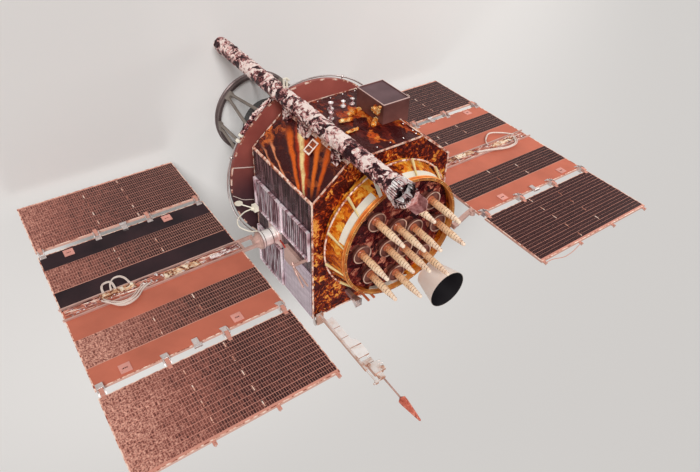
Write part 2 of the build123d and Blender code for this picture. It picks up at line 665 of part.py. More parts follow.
def fore_panel(side):
    """The fore panel also carries stand-off tabs on its far edge, and on the right a wire between two."""
    panel = outer_panel(side, 1)
    for y in TABS_Y:
        panel += wing_block(side, CELL_X - 18, CELL_X - 6, y - 14, y + 14, OUTER_OUT, OUTER_OUT + TAB_LENGTH)
        panel += wing_bar(side, (CELL_X - 30, y, OUTER_OUT + TAB_LENGTH - 8),
                          (CELL_X + 2, y, OUTER_OUT + TAB_LENGTH - 8), 7)
    if side < 0:
        panel += cable([(CELL_X - 12, side * y, WING_Z + s) for y, s in TAB_WIRE], 7)
    return panel


def tie_plates(side):
    """Square hold-down pads with a slot, near both hinge lines of the centre panel."""
    thick = 6
    pieces = []
    for end in (-1, 1):
        for y in PADS_Y:
            pad = wing_block(side, CELL_X, CELL_X + thick, y - PAD_HALF, y + PAD_HALF,
                             end * (PAD_S - PAD_HALF), end * (PAD_S + PAD_HALF))
            slot = wing_block(side, CELL_X + 2, CELL_X + 9, y - 22, y + 22,
                              end * (PAD_S - 7), end * (PAD_S + 7))
            pieces.append(pad - slot)
    return pieces


# Wing drives, the beam along each wing's middle and its harness

DRIVE_R, DRIVE_END = 78, 895
ROTOR_START = DRIVE_END + 6       # running gap of the rotor flange
RAIL_LOW, RAIL_HIGH = -84, 62     # outer edges of the two rails, along the chord
RAIL_W, RAIL_H = 13, 18


def drive_unit(side):
    """Bearing housing on the body's side, with its mounting plate and end flange."""
    plate_y, flange_y = BODY_Y + 14, DRIVE_END - 16
    foot = block(WING_X - 84, WING_X + 84, side * SKIN_Y, side * plate_y, WING_Z - 115, WING_Z + 115)
    foot -= block(WING_X - 84, WING_X - 64, side * SKIN_Y, side * (plate_y + 1), WING_Z - 115, WING_Z - 60)
    flange, length = flange_y - plate_y, DRIVE_END - plate_y
    outline = [(0, 0), (DRIVE_R + 12, 0), (DRIVE_R + 12, 10), (DRIVE_R, 20), (DRIVE_R, flange),
               (DRIVE_R + 8, flange), (DRIVE_R + 8, length), (0, length)]
    place = Plane(origin=(WING_X, side * plate_y, WING_Z), z_dir=(0, side, 0))
    return foot + turned_on(place, *outline)


def wing_yoke(side):
    """Rotor flange and cone, then two rails with ties that run out along the wing's middle."""
    place = Plane(origin=(WING_X, side * ROTOR_START, WING_Z), z_dir=(0, side, 0))
    yoke = turned_on(place, (0, 0), (DRIVE_R + 6, 0), (DRIVE_R + 6, 14), (DRIVE_R - 8, 22), (46, 58),
                     (34, 66), (0, 66))
    inboard = ROTOR_START + 40
    for low in (RAIL_LOW, RAIL_HIGH - RAIL_W):
        yoke += wing_block(side, CELL_X, CELL_X + RAIL_H, ROOT_Y - 12, TIP_Y + 12, low, low + RAIL_W)
        yoke += wing_block(side, BACK_X, CELL_X + RAIL_H, inboard, ROOT_Y - 5, low, low + RAIL_W)
    for y in (inboard, ROOT_Y - 29):
        yoke += wing_block(side, BACK_X + 2, CELL_X + RAIL_H - 6, y, y + 24, RAIL_LOW, RAIL_HIGH)
    for n in range(8):
        y = ROOT_Y + 140 + 190 * n
        yoke += wing_block(side, CELL_X, CELL_X + 3, y, y + 16, RAIL_LOW, RAIL_HIGH)
    return yoke


BOXES = {                         # y low, y high, s low, s high of the wrapped boxes in the beam
    "left": [(2045, 2362, -62, -10), (1480, 1825, -30, 30)],
    "right": [(1420, 1835, -62, -8), (2100, 2440, -30, 22)],
}


def harness_boxes(name):
    """Gold-wrapped boxes with sloping ends, and a foil bundle at the wing's root."""
    side, top = SIDES[name], CELL_X + 27
    pieces = []
    for y0, y1, s0, s1 in BOXES[name]:
        outline = Polygon((CELL_X + 3, side * y0), (CELL_X + 3, side * y1), (top, side * (y1 - 22)),
                          (top, side * (y0 + 22)), align=None)
        pieces.append(Pos(0, 0, WING_Z + s0) * extrude(outline, s1 - s0, dir=ALONG_Z))
    bundle = wing_bar(side, (CELL_X + 16, ROOT_Y + 4, -26), (CELL_X + 16, 1395, -6), 13)
    pieces.append(bundle.fuse(wing_bar(side, (CELL_X + 14, ROOT_Y + 4, 12), (CELL_X + 14, 1395, 12), 11)))
    return pieces


HIGH_X = CELL_X + RAIL_H + 5.5    # where a cable crosses a rail
CABLES = {                        # thickness, then the route as (x, y, s)
    "left": [
        (10, [(HIGH_X, 2300, -70), (HIGH_X, 2300, -118), (HIGH_X, 2283, -170), (HIGH_X, 2222, -170),
              (HIGH_X, 2212, -120), (HIGH_X, 2212, -70)]),
        (10, [(HIGH_X, 2236, -70), (HIGH_X, 2232, -128), (HIGH_X, 2190, -196), (HIGH_X, 2128, -186),
              (HIGH_X, 2098, -126), (HIGH_X, 2092, -70)]),
        (11, [(HIGH_X, 2345, 10), (HIGH_X, 2305, 62), (HIGH_X, 2240, 112), (HIGH_X, 2176, 122),
              (HIGH_X, 2100, 108), (HIGH_X, 2030, 40), (HIGH_X, 1965, 8)]),
        (11, [(HIGH_X, 2320, 26), (HIGH_X, 2285, 88), (HIGH_X, 2228, 138), (HIGH_X, 2160, 150),
              (HIGH_X, 2080, 124), (HIGH_X, 2005, 44), (HIGH_X, 1940, 20)]),
    ],
    "right": [
        (11, [(HIGH_X, 2070, -60), (HIGH_X, 2100, -120), (HIGH_X, 2230, -212), (HIGH_X, 2300, -208),
              (HIGH_X, 2440, -110), (HIGH_X, 2485, -50)]),
        (11, [(HIGH_X, 1850, 6), (HIGH_X, 1960, 20), (HIGH_X, 2090, 66), (HIGH_X, 2230, 112),
              (HIGH_X, 2370, 98), (HIGH_X, 2420, 40), (HIGH_X, 2450, -20)]),
    ],
}


def wing_cables(name):
    """Sleeved cables that arch out of the beam and lie over its rails."""
    side = SIDES[name]
    cables = []
    for thickness, route in CABLES[name]:
        cables.append(cable([(x, side * y, WING_Z + s) for x, y, s in route], thickness))
    return cables


# Fittings beside the left drive

def side_fittings():
    """Wrapped connector box, its cable loop to the drive, and a small round paddle on a stalk."""
    rest_y = SKIN_Y + LOUVRE_STAND            # the box sits on the louvre frame's corner
    box = block(-130, -72, rest_y, 800, 1442, 1508)
    collar = bar((-100, 800, 1475), (-100, 818, 1475), 18)
    loop = cable([(-100, 806, 1475), (-80, 905, 1500), (-90, 1010, 1560), (-110, 1035, 1640),
                  (-150, 952, 1716), (-166, 887, 1716)], 12)
    stalk = bar((-90, 795, 1490), (-48, 895, 1420), 6)
    paddle = bar((-51, 905, 1395), (-45, 905, 1395), 38)
    return box.fuse(collar, loop, stalk, paddle) - drive_unit(SIDES["left"])


def main():
    os.makedirs("parts", exist_ok=True)
    save("bus_body", bus_body())
    save("edge_tapes", *edge_tapes())
    save("bevel_port", bevel_port())
    save("upper_box", upper_box())
    save("thrusters", *[thruster(*row) for row in THRUSTERS])
    save("top_fittings", *top_fittings())
    save("foil_tube", foil_tube())
    save("tube_saddles", *tube_saddles())
    save("tube_strut", *tube_strut())
    save("mouth_tray", mouth_tray())
    save("side_latch_left", *side_latch_left())
    save("side_latch_right", side_latch_right())
    save("side_fittings", side_fittings())
    save("aft_drum", aft_drum())
    save("aft_disc", aft_disc())
    save("rim_rail", *rim_rail())
    save("motor_case", motor_case())
    save("motor_nozzle", motor_nozzle())
    save("adapter_struts", *adapter_struts())
    save("separation_ring", separation_ring())
    save("base_hoop", base_hoop())
    save("array_skirt", array_skirt())
    save("front_hoop", front_hoop())
    save("hoop_struts", *hoop_struts())
    save("cover_bands", *cover_bands())
    save("array_deck", array_deck())
    save("helix_cups", *[helix_cup(*xy) for xy in array_points()])
    save("helix_rods", *[helix_rod(*xy) for xy in array_points()])
    save("optical_shade", optical_shade())
    save("optical_barrel", optical_barrel())
    save("sun_horn", sun_horn())
    save("short_posts", *short_posts())
    save("mast_root", *mast_root())
    save("mast_rail", mast_rail())
    save("mast_plates", *mast_plates())
    save("mast_head", mast_head())
    save("mast_rod", mast_rod())
    save("mast_cone", mast_cone())
    for name, side in SIDES.items():
        save(f"louvres_{name}", *louvres(side))
        save(f"radiator_{name}", radiator(side))
        save(f"drive_unit_{name}", drive_unit(side))
        save(f"wing_yoke_{name}", wing_yoke(side))
        save(f"harness_boxes_{name}", *harness_boxes(name))
        save(f"wing_cables_{name}", *wing_cables(name))
        save(f"centre_panel_{name}", centre_panel(side))
        save(f"hinge_forks_{name}", *hinge_forks(side, -1), *hinge_forks(side, 1))
        save(f"tie_plates_{name}", *tie_plates(side))
        save(f"aft_panel_{name}", outer_panel(side, -1))
        save(f"fore_panel_{name}", fore_panel(side))


main()
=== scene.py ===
# %% [markdown]
# # A navigation satellite, dressed around its fixed frame
# The solid parts come from a packed model that stays where it is. This lesson gives each of
# them a finish, and adds what solids can't show: crumpled foil, rows of solar cells, wound
# antenna wire, cable strands, tape along edges and small fasteners. All lengths are metres.

# %% Load the frame
import json
import math
import random

import bmesh
import bpy
from mathutils import Matrix, Vector, noise


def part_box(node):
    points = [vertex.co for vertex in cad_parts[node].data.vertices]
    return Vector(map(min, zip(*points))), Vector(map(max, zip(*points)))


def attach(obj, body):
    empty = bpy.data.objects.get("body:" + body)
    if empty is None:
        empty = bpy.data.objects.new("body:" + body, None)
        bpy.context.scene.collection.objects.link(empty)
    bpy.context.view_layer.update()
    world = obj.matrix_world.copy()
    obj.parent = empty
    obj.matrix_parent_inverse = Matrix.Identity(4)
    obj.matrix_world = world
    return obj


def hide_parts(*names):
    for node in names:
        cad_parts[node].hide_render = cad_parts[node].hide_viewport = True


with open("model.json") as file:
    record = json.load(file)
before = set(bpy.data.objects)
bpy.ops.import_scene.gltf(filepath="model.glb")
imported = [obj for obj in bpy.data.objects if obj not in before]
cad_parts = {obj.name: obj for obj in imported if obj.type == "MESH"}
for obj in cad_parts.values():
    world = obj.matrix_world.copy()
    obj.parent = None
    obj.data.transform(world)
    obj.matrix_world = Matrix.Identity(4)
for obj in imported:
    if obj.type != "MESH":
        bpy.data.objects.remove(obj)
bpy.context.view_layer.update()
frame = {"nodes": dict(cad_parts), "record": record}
NODES = frame["nodes"]
SLOT_OF = {row["node"]: row["material_slot"] for row in frame["record"]["subparts"]}

# %% [markdown]
# ## The camera
# The photograph looks along the satellite from beside its antennas, with the whole machine
# rolled. The place, direction and up vector below are those of that view, so the picture can
# be laid over the photograph while working.

# %% Camera
CAMERA_PLACE = Vector((3.4183, 2.6637, 5.6005))
CAMERA_LOOK = Vector((-0.6521, -0.4474, -0.6120))
CAMERA_UP = Vector((0.7574, -0.3503, -0.5510))
SENSOR_WIDTH, LENS, FARTHEST = 36, 30.634, 500          # millimetres, millimetres, metres


def aim(thing, place, look, up):
    """Put a camera or lamp somewhere, looking along one vector with another pointing up."""
    back = -look.normalized()
    right = up.cross(back).normalized()
    turn = Matrix((right, back.cross(right), back)).transposed()
    thing.matrix_world = Matrix.Translation(place) @ turn.to_4x4()


camera = bpy.data.objects.new("camera", bpy.data.cameras.new("camera"))
camera.data.sensor_width, camera.data.lens = SENSOR_WIDTH, LENS
camera.data.clip_end = FARTHEST
bpy.context.scene.collection.objects.link(camera)
bpy.context.scene.camera = camera
aim(camera, CAMERA_PLACE, CAMERA_LOOK, CAMERA_UP)
bpy.context.scene.view_settings.view_transform = "Standard"
print("camera at", tuple(round(value, 2) for value in CAMERA_PLACE))

# %% [markdown]
# ## Shader maths as plain expressions
# Node graphs are easier to read as sums. A `Wire` holds one socket, and its operators add the
# Math nodes. The reflected forms let a plain number stand first, as in `1 - wire`.


# %% Wires
class Wire:
    """A socket that Python's operators work on."""

    def __init__(self, finish, socket):
        self.finish = finish
        self.socket = socket

    def math(self, operation, *others):
        return self.finish.node("ShaderNodeMath", {"operation": operation}, dict(enumerate((self, *others))))

    def __add__(self, other):
        return self.math("ADD", other)

    def __mul__(self, other):
        return self.math("MULTIPLY", other)

    def __sub__(self, other):
        return self.math("SUBTRACT", other)

    def __rsub__(self, other):
        return self.finish.node("ShaderNodeMath", {"operation": "SUBTRACT"}, {0: other, 1: self})

    def __gt__(self, other):
        return self.math("GREATER_THAN", other)

    def __lt__(self, other):
        return self.math("LESS_THAN", other)

    __radd__, __rmul__ = __add__, __mul__

    def rise(self, low, high):
        """0 below low, 1 above high, and smooth between them."""
        settings = {"interpolation_type": "SMOOTHSTEP", "clamp": True}
        sockets = {"Value": self, "From Min": low, "From Max": high}
        return self.finish.node("ShaderNodeMapRange", settings, sockets)


print("methods of a wire:", sum(map(callable, vars(Wire).values())))

# %% [markdown]
# A `Finish` holds one material: `node` adds any other node, settings first, then the values or
# wires that go into its sockets. Constants are set on the shader itself. The patterns that
# most materials need, such as noise, cells, a ramp or a bump, are short methods on top.


# %% Finishes
class Finish:
    """One material: a Principled shader, with constants set on its own sockets."""

    def __init__(self, name, colour, roughness, metallic=0.0, coat=0.0, coat_roughness=0.1, specular=0.3):
        self.material = bpy.data.materials.new(name)
        self.material.use_nodes = True
        self.tree = self.material.node_tree
        self.shader = self.tree.nodes["Principled BSDF"]
        constants = {"Base Color": (*colour, 1), "Roughness": roughness, "Metallic": metallic,
                     "Coat Weight": coat, "Coat Roughness": coat_roughness, "Specular IOR Level": specular}
        for socket, value in constants.items():
            self.shader.inputs[socket].default_value = value
        self.place = self.node("ShaderNodeTexCoord", {}, {}, "Object")

    def node(self, kind, settings, sockets, output=0):
        made = self.tree.nodes.new(kind)
        for setting, value in settings.items():
            if setting == "stops":
                self.set_stops(made.color_ramp, value)
            else:
                setattr(made, setting, value)
        for socket, value in sockets.items():
            if isinstance(value, Wire):
                self.tree.links.new(value.socket, made.inputs[socket])
            else:
                made.inputs[socket].default_value = value
        return Wire(self, made.outputs[output])

    @staticmethod
    def set_stops(ramp, stops):
        while len(ramp.elements) < len(stops):
            ramp.elements.new(0.5)
        for element, (position, colour) in zip(ramp.elements, stops):
            element.position = position
            element.color = (*colour, 1)

    def ramp(self, value, *stops):
        return self.node("ShaderNodeValToRGB", {"stops": stops}, {"Fac": value})

    def mix(self, factor, first, second):
        """Blend two colours, each a wire or three numbers."""
        first, second = [c if isinstance(c, Wire) else (*c, 1) for c in (first, second)]
        settings = {"data_type": "RGBA"}
        return self.node("ShaderNodeMix", settings, {0: factor, 6: first, 7: second}, 2)

    def stretched(self, scale, turn=(0, 0, 0)):
        """Object coordinates, turned and scaled, so that a pattern can run one way."""
        return self.node("ShaderNodeMapping", {}, {"Vector": self.place, "Rotation": turn, "Scale": scale})

    def noise(self, scale, detail=3.0, vector=None, distortion=0.0):
        sockets = {"Vector": vector or self.place, "Scale": scale, "Detail": detail, "Distortion": distortion}
        return self.node("ShaderNodeTexNoise", {}, sockets, "Fac")

    def cells(self, scale, vector=None, output="Distance"):
        sockets = {"Vector": vector or self.place, "Scale": scale}
        return self.node("ShaderNodeTexVoronoi", {}, sockets, output)

    def axis(self, name, vector=None):
        return self.node("ShaderNodeSeparateXYZ", {}, {0: vector or self.place}, name)

    def facing(self, name):
        """One component of the surface's own normal, in the piece's frame."""
        normal = self.node("ShaderNodeTexCoord", {}, {}, "Normal")
        return self.axis(name, normal)

    def feed(self, socket, wire):
        self.tree.links.new(wire.socket, self.shader.inputs[socket])

    def cover(self, face):
        """A panel's three colours: its face, its bright edges and its back."""
        edge = self.mix(self.front_side, (0.62, 0.36, 0.29), face)
        self.feed("Base Color", self.mix(self.back_side, edge, self.rear))

    def bump(self, height, strength, distance):
        sockets = {"Strength": strength, "Distance": distance, "Height": height}
        self.feed("Normal", self.node("ShaderNodeBump", {}, sockets))


print("methods of a finish:", sum(map(callable, vars(Finish).values())))

# %% [markdown]
# ## Shared places, and finishes on demand
# Some finishes change at a place on the object, such as the hinge line of the wings or the
# middle of the antennas. Those places are named once, here. A finish is made the first time
# that something asks for it, and kept, so that all nodes with one material share it.

# %% Shared places
SIDES = {"left": 1, "right": -1}                # which way each wing points along Y
ENDS = {"aft": -1, "fore": 1}                   # which way each outer panel lies along Z
ARRAY_X, ARRAY_Y = 0.028, -0.024                # middle of the antenna array
HOOP_TOP = 2.692
TUBE_CENTRE = (0.955, 0.400)
WING_Z = 1.780                                  # height of both wings' hinge line
FINISHES = {}
MAKERS = {}


def finish_for(slot):
    """Every finish is made once, by the function that is named after the record's slot."""
    if slot not in FINISHES:
        FINISHES[slot] = MAKERS[slot]().material
    return FINISHES[slot]


def maker(function):
    MAKERS[function.__name__] = function
    return function


print("wings at z", WING_Z, "and antennas round", (ARRAY_X, ARRAY_Y))

# %% [markdown]
# ## Foils
# The blankets are thin metallised film over soft layers. Seen close, film is flat facets that
# meet at sharp creases, each facet mirroring something else around it. Two sizes of Voronoi
# cells give that: each cell has its own tone, which is a painted reflection, and the edges
# between them are the creases, with painted glints along some and painted shade along others.
# The larger folds are in the mesh itself, further down.

# %% Crumpled film
EVEN_STOPS = (0.24, 0.42, 0.60, 0.80)
DARK_STOPS = (0.34, 0.54, 0.70, 0.86)


def foil(name, shades, size, stops=EVEN_STOPS, roughness=0.30, metallic=0.35, stretch=(1, 1, 1),
         depth=0.004, patch=0.0, crisp=0.0):
    """Crumpled film: shades runs from the deepest crease, painted shade, to the brightest facet, a painted
    highlight.

    A higher crisp gives facets with sharp borders, and patch adds broad light and dark areas.
    """
    made = Finish(name, shades[1], roughness, metallic, specular=0.2)
    bend = made.node("ShaderNodeTexNoise", {}, {"Vector": made.place, "Scale": 7.0, "Detail": 3.0}, "Color")
    run = made.stretched(stretch)
    warped = made.node("ShaderNodeMix", {"data_type": "VECTOR"}, {0: 0.16, 4: run, 5: bend}, 1)
    wide = made.cells(0.8 / size, vector=warped, output="Color")
    fine = made.cells(2.1 / size, vector=warped, output="Color")
    facet = made.axis("X", wide) * (0.42 + 0.12 * crisp) + made.axis("Y", fine) * (0.24 + 0.14 * crisp)
    swell = made.noise(1.1 / size, 3.0, warped, 0.8)
    vein = (swell - 0.5).math("ABSOLUTE").rise(0.0, 0.035)
    small_vein = (made.noise(3.1 / size, 2.0, warped, 1.0) - 0.5).math("ABSOLUTE").rise(0.0, 0.05)
    swirl = 1 - 0.6 * crisp
    # The tone is painted reflection: each facet has its own brightness, with painted glints along the veins
    # and painted shade along the small creases.
    tone = facet + swell * (0.42 * swirl) + (1 - vein) * (0.16 * swirl) - (1 - small_vein) * (0.12 * swirl)
    if patch:
        tone = tone + (made.noise(0.34 / size, 2.0, warped) - 0.5) * patch
    made.tone = tone
    made.colour = made.ramp(tone, *zip(stops, shades))
    made.feed("Base Color", made.colour)
    made.feed("Roughness", facet * 0.22 + (roughness - 0.08))
    made.bump(facet * 1.4 + swell * 0.8 + vein * 0.4, 0.8, depth)
    return made


print("a foil has", len(EVEN_STOPS), "shades")

# %% [markdown]
# On the two slanted faces of the body the film is pulled towards one corner, and so it falls
# in long pleats that fan out from there. The pleats are painted by angle round that corner, as
# bright bands of painted sheen: a ramp over the angle is a fan. The same table lifts the mesh
# later, so that light and colour agree. The long side faces are bare dark plates, and the broad
# face is painted darkest, as shade, outside one painted lit area.

# %% The body's own foil
BEVEL_X, BEVEL_Y, BEVEL_AT = 0.7665, 0.6425, 0.875
FAN_T, FAN_Z = 0.40, 2.56                       # where the pleats meet, on the slanted face
FAN_DARK, FAN_RED = (0.055, 0.008, 0.008), (0.52, 0.040, 0.004)
PLEATS = [                                      # angle, half width, colour
    (32.5, 3.2, (0.66, 0.10, 0.008)),
    (42.0, 3.0, (0.82, 0.16, 0.012)),
    (54.2, 2.3, (1.00, 0.76, 0.34)),
    (61.0, 2.4, (0.78, 0.13, 0.010)),
    (72.0, 0.8, (0.85, 0.30, 0.14)),
    (76.4, 0.7, (0.70, 0.24, 0.12)),
]
PLEAT_RED = {54.2: 6.5}                         # pleats that stand in a broad red sheen
FORE_FACE, BACK_FACE = (2.39, 2.40), (-0.79, -0.77)
BROAD_FACE, SIDE_SKIN = (0.78, 0.80), (0.712, 0.716)
LUMPS_Y, LUMPS_Z = -0.12, 1.86                  # middle of the lit film round the wrapped fittings


def fan_stops():
    """The fan as a ramp: each pleat is a bright band of painted sheen with a soft edge on both sides."""
    stops = [(0.0, FAN_DARK)]
    for angle, half, colour in PLEATS:
        sheen = PLEAT_RED.get(angle)
        beside = FAN_RED if sheen else FAN_DARK
        if sheen:
            stops.append(((angle - sheen) / 90, FAN_DARK))
        stops += [((angle - half) / 90, beside), ((angle - half * 0.35) / 90, colour),
                  ((angle + half * 0.35) / 90, colour), ((angle + half) / 90, beside)]
    return stops + [(1.0, FAN_DARK)]


def blanket_colour(made, shades, x, y, z):
    """Film on the flat faces: painted glints fore and back, and a broad face painted dark as shade, with one
    painted lit area.
    """
    side_y = y.math("ABSOLUTE")
    broad, fore = x.rise(*BROAD_FACE), z.rise(*FORE_FACE)
    lumps_y, lumps_z = y - LUMPS_Y, z - LUMPS_Z
    glow = 1 - (lumps_y * lumps_y + lumps_z * lumps_z).rise(0.01, 0.10)
    aft_strip = broad * (1 - y.rise(-0.36, -0.26)) * z.rise(1.5, 1.7)
    corner = side_y.rise(0.58, 0.64) * z.rise(2.38, 2.40)
    glints = (made.noise(19.0, 2.0, distortion=1.6) - 0.5) * 1.5 + made.tone * 0.6 + 0.15
    fine = fore.math("MAXIMUM", 1 - x.rise(*BACK_FACE))
    film = made.node("ShaderNodeMix", {"data_type": "FLOAT"}, {0: fine, 2: made.tone, 3: glints})
    strip = fore * side_y.rise(0.64, 0.66) * x.rise(0.02, 0.08) * (1 - x.rise(0.32, 0.40))
    # corner, strip and aft_strip add painted highlights; the broad face is painted darker, as shade, outside
    # its lit area.
    lit_level = film + corner * 0.08 + strip * 0.20 + aft_strip * 0.16 - broad * (1 - glow) * 0.25
    return made.ramp(lit_level, *zip(DARK_STOPS, shades))


def pleat_colour(made, x, side_y, z):
    """The slanted faces: the fan of pleats, lost in crumpled film near its corner and far out."""
    run, rise = x * BEVEL_Y - side_y * BEVEL_X + FAN_T, FAN_Z - z
    angle = rise.math("ARCTAN2", run) * (2 / math.pi) + (made.noise(9.0, 2.0) - 0.5) * 0.035
    reach = (run * run + rise * rise).math("SQRT")
    lit = reach.rise(0.26, 0.46) * (1 - reach.rise(0.96, 1.12))
    crumpled = made.ramp(made.tone, (0.40, (0.040, 0.006, 0.007)), (0.66, (0.14, 0.016, 0.010)),
                         (0.88, (0.7, 0.16, 0.03)))
    # The fan's bright bands are painted sheen on the pleats.
    return made.mix(lit * (1 - made.tone.rise(0.62, 0.80) * 0.35), crumpled, made.ramp(angle, *fan_stops()))


@maker
def amber_foil():
    """The body's cover: pleats on the slanted faces, bare plates on the long sides, film elsewhere."""
    shades = ((0.060, 0.006, 0.006), (0.165, 0.017, 0.011), (0.62, 0.085, 0.008), (1.0, 0.48, 0.09))
    made = foil("amber_foil", shades, 0.075, stops=DARK_STOPS, stretch=(1, 1, 0.5), crisp=0.6)
    x, y, z = (made.axis(name) for name in "XYZ")
    side_y = y.math("ABSOLUTE")
    bevel = (x * BEVEL_X + side_y * BEVEL_Y).rise(BEVEL_AT - 0.022, BEVEL_AT - 0.012)
    streaks = made.noise(5.0, 4.0, made.stretched((0.8, 1.0, 9.0)))
    plate = made.ramp(streaks, (0.35, (0.020, 0.009, 0.011)), (0.52, (0.085, 0.042, 0.048)),
                      (0.68, (0.30, 0.17, 0.19)))
    film = made.mix(bevel, blanket_colour(made, shades, x, y, z), pleat_colour(made, x, side_y, z))
    side = side_y.rise(*SIDE_SKIN) * (1 - bevel)
    made.feed("Base Color", made.mix(side, film, plate))
    return made


print("pleats:", len(PLEATS), "on each slanted face")

# %% [markdown]
# The other wraps are the same film in other colours. Shades are given from crease to facet,
# and the deep shades in the folds are painted shade: copper-coloured film is deep red where it
# folds, and silver film is nearly black there. The tube's own film has two more sides: its
# flank with painted shade, and its inside at the open end, painted dark as shade.
# One test of place or facing chooses between two ramps there, so the mesh needs no extra cut.

# %% Other wraps
MOUTH_Z, MOUTH_R2 = 2.955, 0.0105               # where the tube opens, and a radius squared round its wall
BUNDLES_FROM, BUNDLES_TO = 1.09, 1.41           # the wing's bundles, measured from the middle


@maker
def orange_foil():
    shades = ((0.09, 0.010, 0.006), (0.56, 0.085, 0.005), (0.90, 0.25, 0.008), (1.0, 0.54, 0.08))
    return foil("orange_foil", shades, 0.05, stretch=(1, 1, 0.5), crisp=0.3, roughness=0.36)


@maker
def dark_foil():
    shades = ((0.035, 0.004, 0.007), (0.105, 0.010, 0.014), (0.30, 0.032, 0.022), (0.85, 0.34, 0.22))
    return foil("dark_foil", shades, 0.05, stops=DARK_STOPS, crisp=0.5)


@maker
def amber_lump():
    shades = ((0.14, 0.014, 0.005), (0.60, 0.095, 0.006), (0.96, 0.32, 0.025), (1.0, 0.80, 0.40))
    return foil("amber_lump", shades, 0.030, crisp=0.6)


@maker
def sleeve_film():
    shades = ((0.24, 0.07, 0.08), (0.72, 0.46, 0.45), (0.97, 0.88, 0.86), (1.0, 0.98, 0.96))
    return foil("sleeve_film", shades, 0.02, stretch=(1, 1, 0.3), crisp=1.0)


@maker
def silver_foil():
    """Silver film with painted shade down one flank; inside the open end of the tube it is painted dark as
    shade.
    """
    shades = ((0.034, 0.008, 0.012), (0.26, 0.070, 0.072), (0.80, 0.42, 0.39), (1.0, 0.84, 0.78))
    stops = (0.36, 0.46, 0.56, 0.68)
    made = foil("silver_foil", shades, 0.042, stops=stops, roughness=0.34, depth=0.006, patch=0.8, crisp=1.0)
    # Painted shade down the flank that faces +Y.
    made.colour = made.ramp(made.tone - made.facing("Y").rise(0.2, 0.9) * 0.10, *zip(stops, shades))
    out_x, out_y = made.axis("X") - TUBE_CENTRE[0], made.axis("Y") - TUBE_CENTRE[1]
    inward = (made.facing("X") * out_x + made.facing("Y") * out_y) < -0.02
    near = (out_x * out_x + out_y * out_y) < MOUTH_R2
    hollow = (inward + (made.facing("Z") > 0.7) * near) * (made.axis("Z") > MOUTH_Z)
    # Inside the open end the film is painted near black, as shade.
    inside = made.ramp(made.tone, (0.45, (0.012, 0.006, 0.008)), (0.72, (0.10, 0.03, 0.03)),
                       (0.85, (0.85, 0.62, 0.58)))
    made.feed("Base Color", made.mix(hollow.math("MINIMUM", 1.0), made.colour, inside))
    return made


@maker
def copper_cone():
    shades = ((0.42, 0.08, 0.05), (0.84, 0.24, 0.16), (0.98, 0.44, 0.32), (1.0, 0.82, 0.70))
    return foil("copper_cone", shades, 0.05, stretch=(1, 1, 0.25), metallic=0.3)


@maker
def gold_box():
    """Straw film on the small wrapped boxes; the bundles near the root of the wing are rose."""
    shades = ((0.10, 0.018, 0.012), (0.52, 0.20, 0.10), (0.94, 0.62, 0.38), (1.0, 0.92, 0.76))
    made = foil("gold_box", shades, 0.022, stretch=(1, 0.5, 1), crisp=0.8)
    out = made.axis("Y").math("ABSOLUTE")
    bundle = (out > BUNDLES_FROM) * (out < BUNDLES_TO)
    rose = made.ramp(made.tone, (0.30, (0.16, 0.04, 0.04)), (0.5, (0.66, 0.36, 0.33)),
                     (0.68, (1.0, 0.88, 0.84)))
    made.feed("Base Color", made.mix(bundle, made.colour, rose))
    return made


@maker
def port_frame():
    """Pale rim round two wells; the wells show the amber film behind."""
    made = Finish("port_frame", (0.92, 0.72, 0.62), 0.4)
    height = made.axis("X") * BEVEL_X + made.axis("Y") * BEVEL_Y
    rim = height > BEVEL_AT + 0.0065
    stain = made.noise(40.0, 3.0)
    pale = made.ramp(stain, (0.35, (0.80, 0.46, 0.36)), (0.6, (1.0, 0.86, 0.76)))
    film = made.ramp(stain, (0.35, (0.05, 0.012, 0.010)), (0.6, (0.42, 0.075, 0.012)))
    made.feed("Base Color", made.mix(rim, film, pale))
    return made


print("makers so far:", len(MAKERS))

# %% [markdown]
# ## Metals, paints and films
# A flat colour never looks finished. Each of these gets what the real one has: milled metal
# shows faint tool lines, paint a fine grain and rubbed edges, stretched film soft waves. Two
# helpers hold what all metals and all paints share, so each finish only says how it differs.

# %% Worked metal and paint
def worked_metal(name, colour, roughness, grain=(1, 1, 1), spread=0.14, metallic=0.9):
    """Metal with fine lines along one direction and cloudy handling marks."""
    made = Finish(name, colour, roughness, metallic)
    lines = made.noise(90.0, 2.0, made.stretched(grain))
    cloud = made.noise(7.0, 4.0)
    shade = lines * 0.5 + cloud * 0.5
    darker = tuple(value * (1 - 2.2 * spread) for value in colour)
    lighter = tuple(min(1.0, value * (1 + spread)) for value in colour)
    made.feed("Base Color", made.ramp(shade, (0.3, darker), (0.7, lighter)))
    made.feed("Roughness", shade * 0.3 + (roughness - 0.15))
    made.bump(lines, 0.12, 0.0006)
    return made


def painted(name, colour, roughness, spread=0.08, speck=None, coat=0.0, waves=0.0, metallic=0.0):
    """Paint or film: a fine grain, broad soft stains, and waves where it isn't stiff."""
    made = Finish(name, colour, roughness, metallic, coat)
    stain = made.noise(4.5, 5.0)
    grain = made.noise(240.0, 2.0)
    darker = tuple(value * (1 - 2.5 * spread) for value in colour)
    lighter = tuple(min(1.0, value * (1 + spread)) for value in colour)
    shade = made.ramp(stain * 0.7 + grain * 0.3, (0.3, darker), (0.68, lighter))
    if speck:
        dots = made.cells(70.0) < 0.16
        shade = made.mix(dots * 0.6, shade, speck)
    made.feed("Base Color", shade)
    made.feed("Roughness", stain * 0.16 + (roughness - 0.08))
    height = grain * 0.15
    if waves:
        height = height + made.noise(11.0, 2.0, distortion=0.4) * waves
    made.bump(height, 0.3, 0.004 if waves else 0.0012)
    return made


@maker
def red_tag():
    return painted("red_tag", (0.42, 0.035, 0.02), 0.5, spread=0.2, waves=0.6)


print("makers so far:", len(MAKERS))

